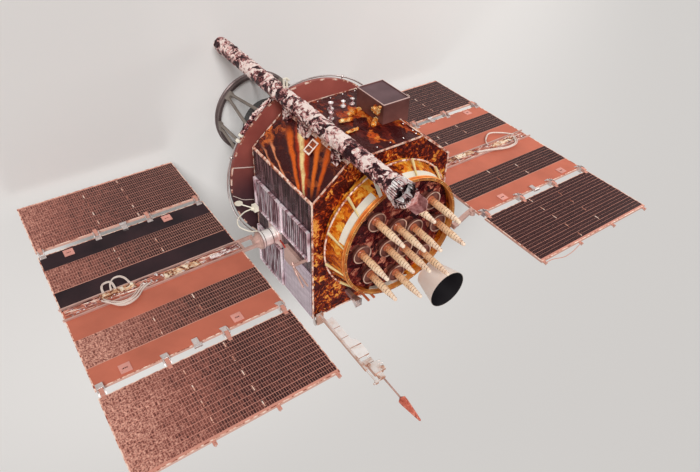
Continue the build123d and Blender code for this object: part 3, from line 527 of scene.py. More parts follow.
# %% [markdown]
# The metals differ in colour, in the way their grain runs and in what the hands that made
# them left behind: seams round the drive drum, and two grooves in the top of the hoop. Such
# lines could be cut into the mesh, but a few millimetres wide they read as well as a dark band
# in the colour, which follows the distance from the middle and costs no faces. In the grooves
# that dark band is painted shade, and the drum carries a painted highlight along its top.

# %% Metals
DRIVE_SEAMS = ((0.792, 0.004), (0.872, 0.003))          # distance out from the middle, half width
HOOP_GROOVES = ((0.5905, 0.0022), (0.6015, 0.0026))     # radius, half width


@maker
def bright_metal():
    return worked_metal("bright_metal", (0.80, 0.72, 0.70), 0.32, grain=(0.2, 1, 1))


@maker
def dark_ring():
    return worked_metal("dark_ring", (0.20, 0.15, 0.145), 0.40, metallic=0.7)


@maker
def drive_metal():
    """Pale drum with a painted highlight along its top, and two dark seams round it."""
    made = worked_metal("drive_metal", (0.90, 0.74, 0.70), 0.34, grain=(1, 0.1, 1), metallic=0.3)
    along = made.axis("Y").math("ABSOLUTE")
    first, second = [(along - at).math("ABSOLUTE") < half for at, half in DRIVE_SEAMS]
    stained = made.ramp(made.noise(12.0, 3.0), (0.3, (0.62, 0.36, 0.33)), (0.7, (0.94, 0.74, 0.70)))
    # A painted highlight where the drum faces +X, along its top.
    drum = made.mix(made.facing("X").rise(0.2, 0.9), stained, (1.0, 0.97, 0.92))
    made.feed("Base Color", made.mix(first + second, drum, (0.07, 0.02, 0.02)))
    return made


@maker
def gold_rim():
    """Yellow anodised hoop: two grooves run round its top, painted dark as shade."""
    made = worked_metal("gold_rim", (0.95, 0.46, 0.10), 0.38, grain=(0.3, 0.3, 1), metallic=0.35)
    out_x, out_y = made.axis("X") - ARRAY_X, made.axis("Y") - ARRAY_Y
    radius = (out_x * out_x + out_y * out_y).math("SQRT")
    first, second = [(radius - at).math("ABSOLUTE") < half for at, half in HOOP_GROOVES]
    top = made.axis("Z") > HOOP_TOP - 0.002
    yellow = made.ramp(made.noise(14.0, 3.0), (0.3, (0.70, 0.16, 0.03)), (0.7, (0.98, 0.46, 0.12)))
    # The grooves are a dark band of painted shade on the top face.
    made.feed("Base Color", made.mix((first + second) * top, yellow, (0.12, 0.02, 0.01)))
    return made


@maker
def gold_strut():
    return worked_metal("gold_strut", (1.0, 0.74, 0.36), 0.40, metallic=0.3)


@maker
def motor_case():
    return worked_metal("motor_case", (0.30, 0.26, 0.25), 0.42, grain=(1, 1, 0.08))


@maker
def wing_metal():
    return worked_metal("wing_metal", (0.66, 0.42, 0.36), 0.40, grain=(1, 0.1, 1), metallic=0.4)


print("makers so far:", len(MAKERS))

# %% [markdown]
# Tapes, films and painted covers show where they have been touched: tape lifts and creases,
# and a cover's rim is rubbed pale. Light is painted in as well: the red-brown film on the plate
# is painted darker to one side, as shade behind the body, the grey box's sides are painted
# browner, and the tray's cover is painted paler where it faces forward.
# Each stain is a soft noise between two colours, since hands and sun never work in lines. A
# painted picture would show the same, but it would have to be made for each surface.

# %% Tapes, films and covers
@maker
def pale_tape():
    """Tape over seams: pale where it lies flat, orange-brown where it has lifted and creased."""
    made = painted("pale_tape", (0.90, 0.58, 0.46), 0.34, spread=0.16, waves=0.5, metallic=0.15)
    lifted = made.noise(30.0, 4.0)
    shades = (0.38, (0.34, 0.085, 0.05)), (0.47, (0.78, 0.40, 0.29)), (0.60, (0.97, 0.76, 0.64))
    made.feed("Base Color", made.ramp(lifted, *shades))
    return made


@maker
def grey_box():
    """Flat cover: mauve-grey on top, its sides painted browner for the light that falls on them, with a
    rubbed pale rim.
    """
    made = painted("grey_box", (0.20, 0.13, 0.14), 0.55, spread=0.10)
    low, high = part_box("upper_box")
    up = made.facing("X").rise(0.4, 0.6)
    from_edge = (made.axis("Y") - (low.y + high.y) / 2).math("ABSOLUTE").rise(0.132, 0.137)
    from_end = (made.axis("Z") - (low.z + high.z) / 2).math("ABSOLUTE").rise(0.187, 0.192)
    rim = from_edge.math("MAXIMUM", from_end) * made.axis("X").rise(high.x - 0.008, high.x - 0.004)
    grain = made.noise(5.0, 5.0)
    top = made.ramp(grain, (0.3, (0.095, 0.048, 0.054)), (0.7, (0.15, 0.082, 0.090)))
    side = made.ramp(grain, (0.3, (0.10, 0.034, 0.030)), (0.7, (0.20, 0.075, 0.062)))
    # Top and sides are one paint; the browner sides are painted light.
    made.feed("Base Color", made.mix(rim, made.mix(up, side, top), (0.72, 0.50, 0.46)))
    return made


@maker
def salmon_cover():
    speck = (0.20, 0.05, 0.04)
    return painted("salmon_cover", (0.74, 0.33, 0.27), 0.5, spread=0.10, speck=speck, waves=0.5)


@maker
def brown_plate():
    """Red-brown film, with painted shade where the plate runs behind the long side of the body."""
    made = painted("brown_plate", (0.30, 0.085, 0.065), 0.46, spread=0.12, waves=1.0)
    # across runs from painted shade behind the body to the lit side.
    across = (made.axis("X") * 0.80 + made.axis("Y") * 0.10).rise(-0.10, 0.55)
    stain = made.noise(3.0, 4.0)
    dark = made.ramp(stain, (0.3, (0.045, 0.018, 0.024)), (0.7, (0.085, 0.030, 0.034)))
    lit_side = made.ramp(stain, (0.3, (0.27, 0.062, 0.050)), (0.7, (0.42, 0.110, 0.085)))
    made.feed("Base Color", made.mix(across, dark, lit_side))
    return made


@maker
def carbon():
    made = Finish("carbon", (0.05, 0.05, 0.055), 0.5, coat=0.25)
    wound = made.stretched((1, 1, 3.0))
    weave = made.node("ShaderNodeTexWave", {"bands_direction": "Z"}, {"Vector": wound, "Scale": 40.0}, "Fac")
    made.feed("Base Color", made.ramp(weave, (0.2, (0.02, 0.02, 0.022)), (0.8, (0.11, 0.105, 0.10))))
    made.bump(weave, 0.3, 0.001)
    return made


@maker
def adapter_metal():
    return painted("adapter_metal", (0.24, 0.20, 0.17), 0.5, spread=0.12)


@maker
def white_sheet():
    return painted("white_sheet", (0.90, 0.84, 0.70), 0.42, spread=0.07, waves=1.2)


@maker
def tray_cover():
    """Mauve-grey film with red stains, painted paler where it faces forward, as it is lit more there."""
    made = painted("tray_cover", (0.36, 0.15, 0.14), 0.5, spread=0.10, waves=0.8)
    stain = made.noise(34.0, 4.0)
    side = made.ramp(stain, (0.34, (0.22, 0.07, 0.065)), (0.62, (0.46, 0.23, 0.22)))
    top = made.ramp(stain, (0.38, (0.55, 0.20, 0.17)), (0.60, (0.88, 0.56, 0.52)))
    # The forward face is painted lighter, as lit.
    made.feed("Base Color", made.mix(made.facing("Z").rise(0.4, 0.6), side, top))
    return made


print("makers so far:", len(MAKERS))

# %% [markdown]
# The mast is covered with white sheets, and the long sides carry mirror sheets and polished
# louvre blades. All of them repeat: the fraction of a height makes seams at even steps, and a
# noise that is squeezed across the blades gives each blade its own tone.

# %% Mast, radiators and louvres
MAST_SHEETS_FROM, SHEETS_A_METRE = 2.560, 7.576


@maker
def mast_sheet():
    """White sheets end to end along the mast, with brown seams where they meet."""
    made = painted("mast_sheet", (0.90, 0.90, 0.88), 0.36, spread=0.05, waves=0.8)
    seam = ((made.axis("Z") - MAST_SHEETS_FROM) * SHEETS_A_METRE).math("FRACT") > 0.925
    stain = made.noise(12.0, 4.0)
    white = made.ramp(stain, (0.32, (0.86, 0.78, 0.72)), (0.46, (0.94, 0.93, 0.91)))
    made.feed("Base Color", made.mix(seam, white, (0.42, 0.16, 0.08)))
    return made


@maker
def mast_metal():
    """Pale metal, with orange light painted on the faces that turn sideways."""
    made = worked_metal("mast_metal", (0.86, 0.80, 0.76), 0.36, grain=(1, 1, 0.1), metallic=0.3)
    stain = made.noise(14.0, 4.0)
    pale = made.ramp(stain, (0.34, (0.62, 0.36, 0.26)), (0.46, (0.86, 0.76, 0.70)),
                     (0.60, (0.94, 0.91, 0.88)))
    sideways = made.facing("X").math("ABSOLUTE") < 0.5
    # Painted orange light on the sideways faces.
    made.feed("Base Color", made.mix(sideways * 0.75, pale, (0.52, 0.20, 0.10)))
    return made


@maker
def black_paint():
    return painted("black_paint", (0.020, 0.016, 0.017), 0.6, spread=0.2)


@maker
def radiator_white():
    """Mirror-like sheets on the long sides, laid in strips with thin seams."""
    made = painted("radiator_white", (0.55, 0.42, 0.50), 0.32, spread=0.05, coat=0.4)
    strips = (made.axis("Z") * 18.0).math("FRACT") < 0.035
    stain = made.noise(6.0, 4.0, made.stretched((4, 1, 1)))
    sheet = made.ramp(stain, (0.3, (0.38, 0.27, 0.33)), (0.7, (0.66, 0.53, 0.60)))
    made.feed("Base Color", made.mix(strips, sheet, (0.20, 0.12, 0.15)))
    return made


@maker
def louvre_blade():
    """Polished blades: lavender and pale, each a little different, over gaps painted dark as shade."""
    made = worked_metal("louvre_blade", (0.58, 0.42, 0.50), 0.28, grain=(0.1, 1, 1),
                        spread=0.10, metallic=0.35)
    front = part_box("louvres_left")[1].y
    own = made.noise(16.0, 2.0, made.stretched((0.3, 0.2, 2.2)))
    blade = made.ramp(own, (0.36, (0.34, 0.18, 0.20)), (0.46, (0.76, 0.52, 0.58)),
                      (0.56, (1.0, 0.88, 0.92)))
    # Surfaces set back from the front are painted dark, as shade between the blades.
    depth = made.axis("Y").math("ABSOLUTE").rise(front - 0.030, front - 0.018)
    made.feed("Base Color", made.mix(depth, (0.05, 0.03, 0.038), blade))
    return made


@maker
def white_cable():
    made = Finish("white_cable", (0.88, 0.80, 0.74), 0.55)
    braid = made.cells(420.0, vector=made.stretched((1, 1, 1), (0, 0, math.radians(45))))
    made.feed("Base Color", made.ramp(braid, (0.1, (0.93, 0.86, 0.80)), (0.6, (0.66, 0.52, 0.45))))
    made.bump(1 - braid, 0.5, 0.0008)
    return made


print("makers so far:", len(MAKERS))

# %% [markdown]
# ## Antenna finishes
# The cups are brown metal whose rolled rims have been handled bright, and the rods are woven
# glass, darker towards the foot. Both change with height, so the finish asks the frame for the
# node's box and works the heights out from it.


# %% Cups, rods and the sensor's shade
@maker
def helix_cup():
    """Brown satin cup, its rolled rim rubbed to bright metal."""
    made = painted("helix_cup", (0.25, 0.10, 0.08), 0.42, spread=0.12)
    low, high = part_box("helix_cups")
    rim = made.axis("Z").rise(high.z - 0.007, high.z - 0.003)
    stain = made.noise(9.0)
    brown = made.ramp(stain, (0.3, (0.13, 0.040, 0.030)), (0.7, (0.27, 0.105, 0.080)))
    worn = made.ramp(stain, (0.35, (0.30, 0.12, 0.09)), (0.6, (0.95, 0.66, 0.52)))
    made.feed("Base Color", made.mix(rim, brown, worn))
    made.feed("Metallic", rim * 0.4 + 0.1)
    print("cups stand", round(high.z - low.z, 3), "m high")
    return made


@maker
def helix_rod():
    """Straw-coloured woven glass: orange at the foot, paler at the tip."""
    made = Finish("helix_rod", (0.85, 0.60, 0.38), 0.5, coat=0.2)
    low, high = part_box("helix_rods")
    height = made.axis("Z").rise(low.z, high.z)
    base = made.ramp(height, (0.0, (0.50, 0.12, 0.05)), (0.05, (0.80, 0.32, 0.14)),
                     (0.14, (0.94, 0.56, 0.31)), (0.55, (0.98, 0.72, 0.46)), (1.0, (0.98, 0.79, 0.62)))
    stain = made.noise(26.0, 4.0).rise(0.45, 0.72)
    made.feed("Base Color", made.mix(stain * 0.45, base, (0.58, 0.20, 0.09)))
    made.bump(made.cells(330.0), 0.3, 0.0006)
    return made


@maker
def shade_white():
    """White outside and flat black inside, split by the shade's own radius."""
    made = painted("shade_white", (0.90, 0.86, 0.83), 0.45, spread=0.05)
    low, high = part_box("optical_shade")
    middle = (low + high) / 2
    out_x = made.facing("X") * (made.axis("X") - middle.x)
    out_y = made.facing("Y") * (made.axis("Y") - middle.y)
    outward = (out_x + out_y).rise(-0.004, 0.004)
    white = made.ramp(made.noise(6.0), (0.3, (0.96, 0.80, 0.70)), (0.7, (1.0, 0.92, 0.85)))
    made.feed("Base Color", made.mix(outward, (0.012, 0.01, 0.012), white))
    return made


print("makers so far:", len(MAKERS))

# %% [markdown]
# ## Wing panels
# The CAD panel has a cell side, a bare rim and a back. The normal of the panel in its own
# frame says which side a point is on, so one finish can paint all three without any picture.
# The cells themselves are separate little tiles, added later.

# %% Panel finishes
WOVEN_BACK, UNDER_CELLS = (0.15, 0.12, 0.115), (0.60, 0.28, 0.21)
STRIP_FROM, STRIP_TO = 0.297, 0.609             # the strips of cells, measured from the hinge line


def panel(name, front):
    """Film-covered honeycomb: front colour on the cell side, woven back, bright edges."""
    made = Finish(name, front, 0.5, specular=0.15)
    toward = made.facing("X")
    stain = made.noise(3.5, 5.0)
    lit = tuple(min(1.0, value * 1.25) for value in front)
    made.face = made.ramp(stain, (0.3, front), (0.7, lit))
    weave = made.node("ShaderNodeTexChecker", {}, {"Vector": made.place, "Scale": 260.0}, "Fac")
    made.rear = made.mix(weave * 0.3 + stain * 0.5, WOVEN_BACK, tuple(value * 0.6 for value in WOVEN_BACK))
    made.front_side, made.back_side = toward > 0.5, toward < -0.5
    made.cover(made.face)
    made.feed("Roughness", stain * 0.2 + 0.36)
    made.bump(made.noise(38.0, 3.0), 0.12, 0.002)
    return made


@maker
def panel_centre():
    """Bare film beside the strips of cells; on the aft half of the left wing it is painted much darker, as a
    dark reflection.
    """
    made = panel("panel_centre", (0.46, 0.130, 0.080))
    # A painted dark reflection on the aft half of the left wing.
    aft = made.axis("Z") < WING_Z - 0.06
    left = made.axis("Y") > 0
    dark = made.ramp(made.noise(3.5, 5.0), (0.3, (0.014, 0.007, 0.010)), (0.7, (0.040, 0.018, 0.022)))
    from_beam = (made.axis("Z") - WING_Z).math("ABSOLUTE")
    under_cells = (from_beam > STRIP_FROM) * (from_beam < STRIP_TO)
    bare = made.mix(aft * left, made.face, dark)
    made.cover(made.mix(under_cells, bare, UNDER_CELLS))
    return made


@maker
def panel_cells():
    return panel("panel_cells", (0.56, 0.25, 0.19))


@maker
def solar_cell():
    """Dark violet-brown cells under cover glass; each one carries its own tone."""
    made = Finish("solar_cell", (0.05, 0.015, 0.017), 0.34, coat=0.08, coat_roughness=0.2, specular=0.15)
    tone = made.node("ShaderNodeAttribute", {"attribute_name": "tone"}, {}, "Fac")
    # shine, with a little sparkle, paints glints on the cells: painted reflection, most at the left wing's
    # tip.
    shine = made.node("ShaderNodeAttribute", {"attribute_name": "shine"}, {}, "Fac")
    sparkle = (made.noise(75.0, 2.0) - 0.5) * 1.5
    level = tone + shine * (0.54 + sparkle)
    dim = (0.0, (0.012, 0.004, 0.005)), (0.30, (0.048, 0.014, 0.014))
    lit = (0.62, (0.27, 0.088, 0.066)), (1.0, (0.80, 0.42, 0.32))
    made.feed("Base Color", made.ramp(level, *dim, *lit))
    made.feed("Roughness", tone * 0.2 + 0.2)
    fingers = made.axis("Z", made.stretched((1, 1, 420.0))).math("FRACT") > 0.86
    made.bump(fingers * 0.4, 0.1, 0.0004)
    return made


print("makers so far:", len(MAKERS))

# %% [markdown]
# Two wires are finished here as well. The flat conductor round each rod has lost its lacquer
# in places, and the sleeves of the wing's loom run through several colours. Both are one noise
# through a ramp of three colours: stops close together make dashes, wide ones a blend.


# %% Wires on the rods and in the loom
@maker
def wound_copper():
    """Flat conductor under lacquer, dark in dashes and nearly the rod's colour between them."""
    made = Finish("wound_copper", (0.35, 0.12, 0.07), 0.45)
    worn = made.noise(70.0, 2.0)
    made.feed("Base Color", made.ramp(worn, (0.43, (0.12, 0.035, 0.02)), (0.50, (0.46, 0.18, 0.08)),
                                      (0.56, (0.92, 0.58, 0.33))))
    return made


@maker
def rose_wire():
    """Wires whose sleeves run from rose to straw along the loom."""
    made = Finish("rose_wire", (0.75, 0.45, 0.36), 0.5)
    tint = made.noise(14.0, 4.0, made.stretched((1, 0.6, 3)))
    made.feed("Base Color", made.ramp(tint, (0.36, (0.10, 0.025, 0.02)), (0.5, (0.62, 0.24, 0.17)),
                                      (0.64, (0.95, 0.80, 0.68))))
    made.bump(made.noise(300.0, 1.0), 0.3, 0.0005)
    return made


print("makers in all:", len(MAKERS))

# %% [markdown]
# ## Dressing the frame
# The record gives every node a material slot, and one finish a slot is enough for most. A few
# nodes share a slot with others but look different on the real object, so they have a finish
# of their own in the table below. The loop looks there first and then at the slot. Nothing on
# the frame's nodes changes but the material.

# %% Dress every CAD node
OWN_FINISH = {
    "separation_ring": "dark_ring",
    "top_fittings": "amber_lump",
    "thrusters": "sleeve_film",
    "bevel_port": "port_frame",
    "mouth_tray": "tray_cover",
    "side_fittings": "white_sheet",
    "side_latch_left": "wing_metal",
    "side_latch_right": "wing_metal",
    "mast_plates": "mast_sheet",
    "mast_rail": "mast_metal",
    "mast_head": "mast_metal",
    "mast_rod": "wing_metal",
}


def node_finish(name):
    return finish_for(OWN_FINISH.get(name, SLOT_OF[name]))


def dress_nodes():
    for name, node in NODES.items():
        node.data.materials.clear()
        node.data.materials.append(node_finish(name))


dress_nodes()
print("finishes:", len(FINISHES))

# %% [markdown]
# ## Meshes from lists
# Most added pieces are many like things: tiles, bolts, turns of wire. Each kind is collected
# in one mesh, because one object with ten thousand faces is quick where ten thousand objects
# are not. `Heap` gathers points and faces, then makes one piece that rides on a CAD body.


# %% Heap of faces
class Heap:
    """Collects points and faces, and turns them into one piece on one body."""

    def __init__(self):
        self.points = []
        self.faces = []
        self.tones = {}

    def add(self, points, faces, **tones):
        start = len(self.points)
        self.points.extend(points)
        self.faces.extend(tuple(start + index for index in face) for face in faces)
        for key, value in tones.items():
            self.tones.setdefault(key, []).extend([value] * len(faces))

    def ring_strip(self, rings):
        """Join rings of equal length into a tube that is closed at both ends."""
        count = len(rings[0])
        faces = []
        for level in range(len(rings) - 1):
            for side in range(count):
                after = (side + 1) % count
                faces.append((level * count + side, level * count + after,
                              (level + 1) * count + after, (level + 1) * count + side))
        faces.append(tuple(reversed(range(count))))
        faces.append(tuple((len(rings) - 1) * count + side for side in range(count)))
        self.add([point for ring in rings for point in ring], faces)

    def piece(self, name, body, slot, smooth=False, finish=None):
        mesh = bpy.data.meshes.new(name)
        mesh.from_pydata([tuple(point) for point in self.points], [], self.faces)
        for key, values in self.tones.items():
            mesh.attributes.new(key, "FLOAT", "FACE").data.foreach_set("value", values)
        mesh.polygons.foreach_set("use_smooth", [smooth] * len(mesh.polygons))
        mesh.update()
        made = bpy.data.objects.new(name, mesh)
        bpy.context.scene.collection.objects.link(made)
        mesh.materials.append(finish or finish_for(slot))
        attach(made, body)
        print(name, len(self.faces), "faces")


# %% [markdown]
# Turned parts and wires are rings of points joined into a tube. A turned part moves its ring
# along an axis, and a wire moves it along a curve, where each ring stands square to the path.
# A bevelled curve object would do for one wire, but hundreds are quicker as one mesh.

# %% Turned parts, wires and curves
BOLT_OUTLINE = ((1, 0), (1, 0.5), (0.8, 0.8), (0.45, 0.8), (0.4, 0.4))      # shares of its radius


def frame_of(normal):
    """Two unit vectors across a normal."""
    normal = Vector(normal).normalized()
    helper = Vector((0, 0, 1)) if abs(normal.z) < 0.9 else Vector((1, 0, 0))
    across = normal.cross(helper).normalized()
    return across, normal.cross(across)


def lathe(heap, place, normal, outline, sides):
    """Turn an outline of (radius, height) pairs about a normal."""
    across, up = frame_of(normal)
    normal = Vector(normal).normalized()
    rings = []
    for radius, height in outline:
        angles = [2 * math.pi * side / sides for side in range(sides)]
        rings.append([Vector(place) + normal * height + (across * math.cos(a) + up * math.sin(a)) * radius
                      for a in angles])
    heap.ring_strip(rings)


def bolt(heap, place, normal, radius):
    """Button head with a rounded edge and a sunk middle."""
    lathe(heap, place, normal, [(radius * out, radius * up) for out, up in BOLT_OUTLINE], 10)


def strand(heap, path, radius, sides=6, flat=1.0):
    """A wire along points; flat under 1 makes it a ribbon."""
    rings = []
    for index, point in enumerate(path):
        before, after = path[max(0, index - 1)], path[min(len(path) - 1, index + 1)]
        across, up = frame_of(Vector(after) - Vector(before))
        if rings and across.dot(last_across) < 0:
            across, up = -across, -up
        last_across = across
        angles = [2 * math.pi * side / sides for side in range(sides)]
        rings.append([Vector(point) + across * radius * math.cos(a) + up * radius * flat * math.sin(a)
                      for a in angles])
    heap.ring_strip(rings)


def curved(points, steps=8):
    """Points along one smooth curve through the middle of each run."""
    points = [Vector(point) for point in points]
    path = [points[0]]
    for index in range(1, len(points) - 1):
        start = points[index - 1].lerp(points[index], 0.5) if index > 1 else points[0]
        end = points[index].lerp(points[index + 1], 0.5) if index < len(points) - 2 else points[-1]
        for step in range(1, steps + 1):
            t = step / steps
            path.append(start.lerp(points[index], t).lerp(points[index].lerp(end, t), t))
    return path


print("a bend becomes", len(curved([(0, 0, 0), (1, 0, 0), (1, 1, 0)])), "points")

# %% [markdown]
# ## Crumpled blankets
# A blanket hangs from tape at its edges and puffs between. To model it, the CAD solid is
# copied, its long triangles are split until none is longer than a crease, and each point is
# pushed along its normal by a crease function: ridged cells at three sizes, which is what
# paper and film do when they are crushed. The copy then stands for the CAD node.


# %% Split long edges
def divide(loop, middles):
    """Triangles of one face whose loop alternates corners with the middles of its long edges."""
    if len(loop) == 6:
        a, ab, b, bc, c, ca = loop
        return [(a, ab, ca), (ab, b, bc), (bc, c, ca), (ab, bc, ca)]
    turns = [loop[shift:] + loop[:shift] for shift in range(len(loop))]
    if len(loop) == 5:
        corner, after, second, third, before = next(t for t in turns if t[1] in middles and t[-1] in middles)
        return [(corner, after, before), (after, second, third), (after, third, before)]
    if len(loop) == 4:
        middle, second, third, fourth = next(t for t in turns if t[0] in middles)
        return [(middle, second, third), (middle, third, fourth)]
    return [tuple(loop)]


def split_long_edges(points, triangles, longest):
    """Split every edge that is longer than longest, until none is left."""
    while True:
        middle_of, middles = {}, set()
        for triangle in triangles:
            for a, b in zip(triangle, triangle[1:] + triangle[:1]):
                key = (min(a, b), max(a, b))
                if key not in middle_of:
                    is_long = (points[a] - points[b]).length > longest
                    middle_of[key] = len(points) if is_long else None
                    if is_long:
                        points.append((points[a] + points[b]) / 2)
                        middles.add(middle_of[key])
        if not middles:
            return triangles
        smaller = []
        for triangle in triangles:
            loop = []
            for a, b in zip(triangle, triangle[1:] + triangle[:1]):
                middle = middle_of[min(a, b), max(a, b)]
                loop += [a] if middle is None else [a, middle]
            smaller += divide(loop, middles)
        triangles = smaller


long_one = [Vector((0, 0, 0)), Vector((4, 0, 0)), Vector((0, 1, 0))]
print("a long triangle becomes", len(split_long_edges(long_one, [(0, 1, 2)], 1.0)), "short ones")

# %% [markdown]
# The creases are ridges between random cells, at three sizes that are laid over each other.
# The long side plates of the body hardly take part, and on its slanted faces the pleats of
# the fan are lifted as well, from the same table that paints them. Plain functions of a point
# do this in one pass, and can give each face of the body a rule of its own.

# %% Creases and pleats
CREASES = ((0.55, 1.0, 0.0), (0.30, 2.3, 7.1), (0.15, 5.1, 13.7))       # share, scale, shift
PUFF_LEVEL = 0.8                                # what stays at the skin's own height
PLEAT_HEIGHT = 0.012
SIDE_PLATE_Y = 0.726


def crease(point, size):
    """Ridged cell pattern, about 0 in the creases and 1 on the puffs."""
    level = 0.0
    for share, scale, shift in CREASES:
        spot = point * (scale / size) + Vector((shift, shift, shift))
        near = noise.voronoi(spot)[0]
        level += share * min(1.0, (near[1] - near[0]) * 1.6)
    return level


def pleat_lift(point):
    """Height of the pleats at a point of the body's skin; none away from the slanted faces."""
    side_y = abs(point.y)
    if point.x * BEVEL_X + side_y * BEVEL_Y < BEVEL_AT - 0.004:
        return 0.0
    run, rise = point.x * BEVEL_Y - side_y * BEVEL_X + FAN_T, FAN_Z - point.z
    angle, reach = math.degrees(math.atan2(rise, run)), math.hypot(run, rise)
    near = max(math.exp(-((angle - at) / (half * 1.2)) ** 2) for at, half, _ in PLEATS)
    return PLEAT_HEIGHT * near * min(1.0, max(0.0, (reach - 0.26) / 0.2))


def body_keep(point):
    """The long sides are flat plates; everything else may crumple."""
    return 0.08 if abs(point.y) > SIDE_PLATE_Y else 1.0


print("crease in the middle of the tube:", round(crease(Vector((*TUBE_CENTRE, 2.0)), 0.075), 2))

# %% [markdown]
# Long thin triangles split into many more than a crease needs, so each crumpled copy is
# thinned: faces that lie almost flat are joined first, and the ridges stay. The last number
# of each row below is the share of faces that is kept.


# %% Crumple copies of nodes
def thin_out(made, kept):
    """Join faces where the form needs few, until only this share of them is left."""
    fewer = made.modifiers.new("fewer", "DECIMATE")
    fewer.ratio = kept
    fine_mesh = made.data
    made.data = bpy.data.meshes.new_from_object(made.evaluated_get(bpy.context.evaluated_depsgraph_get()))
    made.modifiers.remove(fewer)
    bpy.data.meshes.remove(fine_mesh)
    made.data.name = made.name


def crumple(name, node, body, longest, size, depth, kept, stretch=(1, 1, 1), keep=None, lift=None):
    """Make a crumpled copy of a CAD node; keep says how much of the depth a point may take.

    A stretch under 1 makes the creases longer along that axis.
    """
    work = bmesh.new()
    work.from_mesh(NODES[node].data)
    bmesh.ops.remove_doubles(work, verts=work.verts[:], dist=1e-5)
    bmesh.ops.triangulate(work, faces=work.faces[:])
    points = [vert.co.copy() for vert in work.verts]
    loops = [tuple(vert.index for vert in face.verts) for face in work.faces]
    work.free()
    triangles = split_long_edges(points, loops, longest)
    mesh = bpy.data.meshes.new(name)
    mesh.from_pydata(points, [], triangles)
    work = bmesh.new()
    work.from_mesh(mesh)
    work.normal_update()
    stretch = Vector(stretch)
    moves = []
    for vert in work.verts:
        share = keep(vert.co) if keep else 1.0
        height = (crease(vert.co * stretch, size) - PUFF_LEVEL) * depth * share
        moves.append(vert.normal * (height + (lift(vert.co) if lift else 0.0)))
    for vert, move in zip(work.verts, moves):
        vert.co += move
    work.to_mesh(mesh)
    work.free()
    made = bpy.data.objects.new(name, mesh)
    bpy.context.scene.collection.objects.link(made)
    mesh.materials.append(node_finish(node))
    thin_out(made, kept)
    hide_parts(node)
    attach(made, body)
    print(name, len(made.data.polygons), "faces")


ALIKE = (1, 1, 1)
WRAPS = [            # piece, node, stretch, then longest edge, width of a crease, depth, share kept
    ("skirt_blanket", "array_skirt", (1, 1, 0.5), 0.016, 0.10, 0.008, 0.80),
    ("deck_film", "array_deck", ALIKE, 0.018, 0.11, 0.006, 0.55),
    ("drum_blanket", "aft_drum", ALIKE, 0.022, 0.12, 0.010, 0.50),
    ("saddle_wraps", "tube_saddles", ALIKE, 0.012, 0.06, 0.010, 0.80),
    ("tube_wrap", "foil_tube", (1, 1, 0.8), 0.014, 0.075, 0.016, 0.28),
    ("fitting_wraps", "top_fittings", ALIKE, 0.009, 0.035, 0.007, 0.50),
]
BODY_WRAP, BOX_WRAP = (0.020, 0.16, 0.011, 0.70), (0.009, 0.032, 0.005, 0.30)
crumple("body_blanket", "bus_body", "root", *BODY_WRAP, (1, 1, 0.6), body_keep, pleat_lift)
for piece, node, stretch, *sizes in WRAPS:
    crumple(piece, node, "root", *sizes, stretch)
for side_name in SIDES:
    crumple(f"box_wraps_{side_name}", f"harness_boxes_{side_name}", f"wing_{side_name}", *BOX_WRAP)

# %% [markdown]
# The tube's foil ends in a loose sleeve that was cut with scissors and left ragged. Flaps are
# strips that start on the tube's rim, splay a little, and end at uneven heights. A cloth
# simulation would settle them, but film this short and stiff stays where it was bent.

# %% Ragged sleeve of the tube
SPLAY_TOWARDS = math.radians(150)               # the sleeve flares most on this side
OUTER_FLAPS = 34
FLAP_RINGS = [                                  # radius, how many, height of the foot, shortest, longest
    (0.096, OUTER_FLAPS, 3.045, 0.070, 0.106),
    (0.079, 17, 3.060, 0.030, 0.072),
]
FLAP_T, FLAP_STEPS = 0.0008, 6


def ragged_sleeve():
    draw = random.Random(5)
    heap = Heap()
    for rim, flaps, foot, shortest, longest in FLAP_RINGS:
        for flap in range(flaps):
            start = 2 * math.pi * flap / flaps
            width = 2 * math.pi / flaps * draw.uniform(0.5, 1.15) * (OUTER_FLAPS / flaps) ** 0.3
            length = draw.uniform(shortest, longest)
            splay = draw.uniform(-0.006, 0.008) + 0.016 * max(0.0, math.cos(start - SPLAY_TOWARDS))
            rows = []
            for step in range(FLAP_STEPS + 1):
                share = step / FLAP_STEPS
                radius = rim + splay * share * share
                half = width * (1 - 0.55 * share * share) / 2
                wave = 0.004 * math.sin(3 * share + flap)
                row = [(start - half, 0), (start, wave), (start + half, 0),
                       (start + half, FLAP_T), (start, wave + FLAP_T), (start - half, FLAP_T)]
                rows.append([Vector((TUBE_CENTRE[0] + (radius + up) * math.cos(a),
                                     TUBE_CENTRE[1] + (radius + up) * math.sin(a),
                                     foot + length * share)) for a, up in row])
            heap.ring_strip(rows)
    heap.piece("tube_sleeve", "root", "silver_foil", finish=finish_for("sleeve_film"))


ragged_sleeve()

# %% [markdown]
# ## Solar cells
# Every dark rectangle is one thin tile with its own tone, since no two cells leave the furnace
# alike. A tile is a low slab: a top and four sides. All tiles of a panel are one piece, and
# two numbers on each face, tone and shine, carry the variation into the finish. The tone is
# each cell's own; the shine is a painted glint, a reflection painted into the colour.

# %% Cell tiles
CELL_FACE = -0.216
CELLS_START, CELLS_END = 1.112, 2.640
CELL_PITCH, ROW_PITCH, STRIP_PITCH = 0.0201, 0.078, 0.0765
TILE_T, TILE_BEVEL = 0.0009, 0.0005
CELL_GAPS = {                                   # gap, spread of tone, line between halves, between rows
    1: (0.0024, 0.09, 0.0028, 0.0048),
    -1: (0.0008, 0.035, 0.0022, 0.0036),
}
OUTER_ROWS = [0.905 + ROW_PITCH * row for row in range(9)]
STRIP_ROWS = [0.300 + STRIP_PITCH * row for row in range(4)]


def corners(y0, y1, s0, s1):
    """The corners of a rectangle, in order round it."""
    return [(y0, s0), (y1, s0), (y1, s1), (y0, s1)]


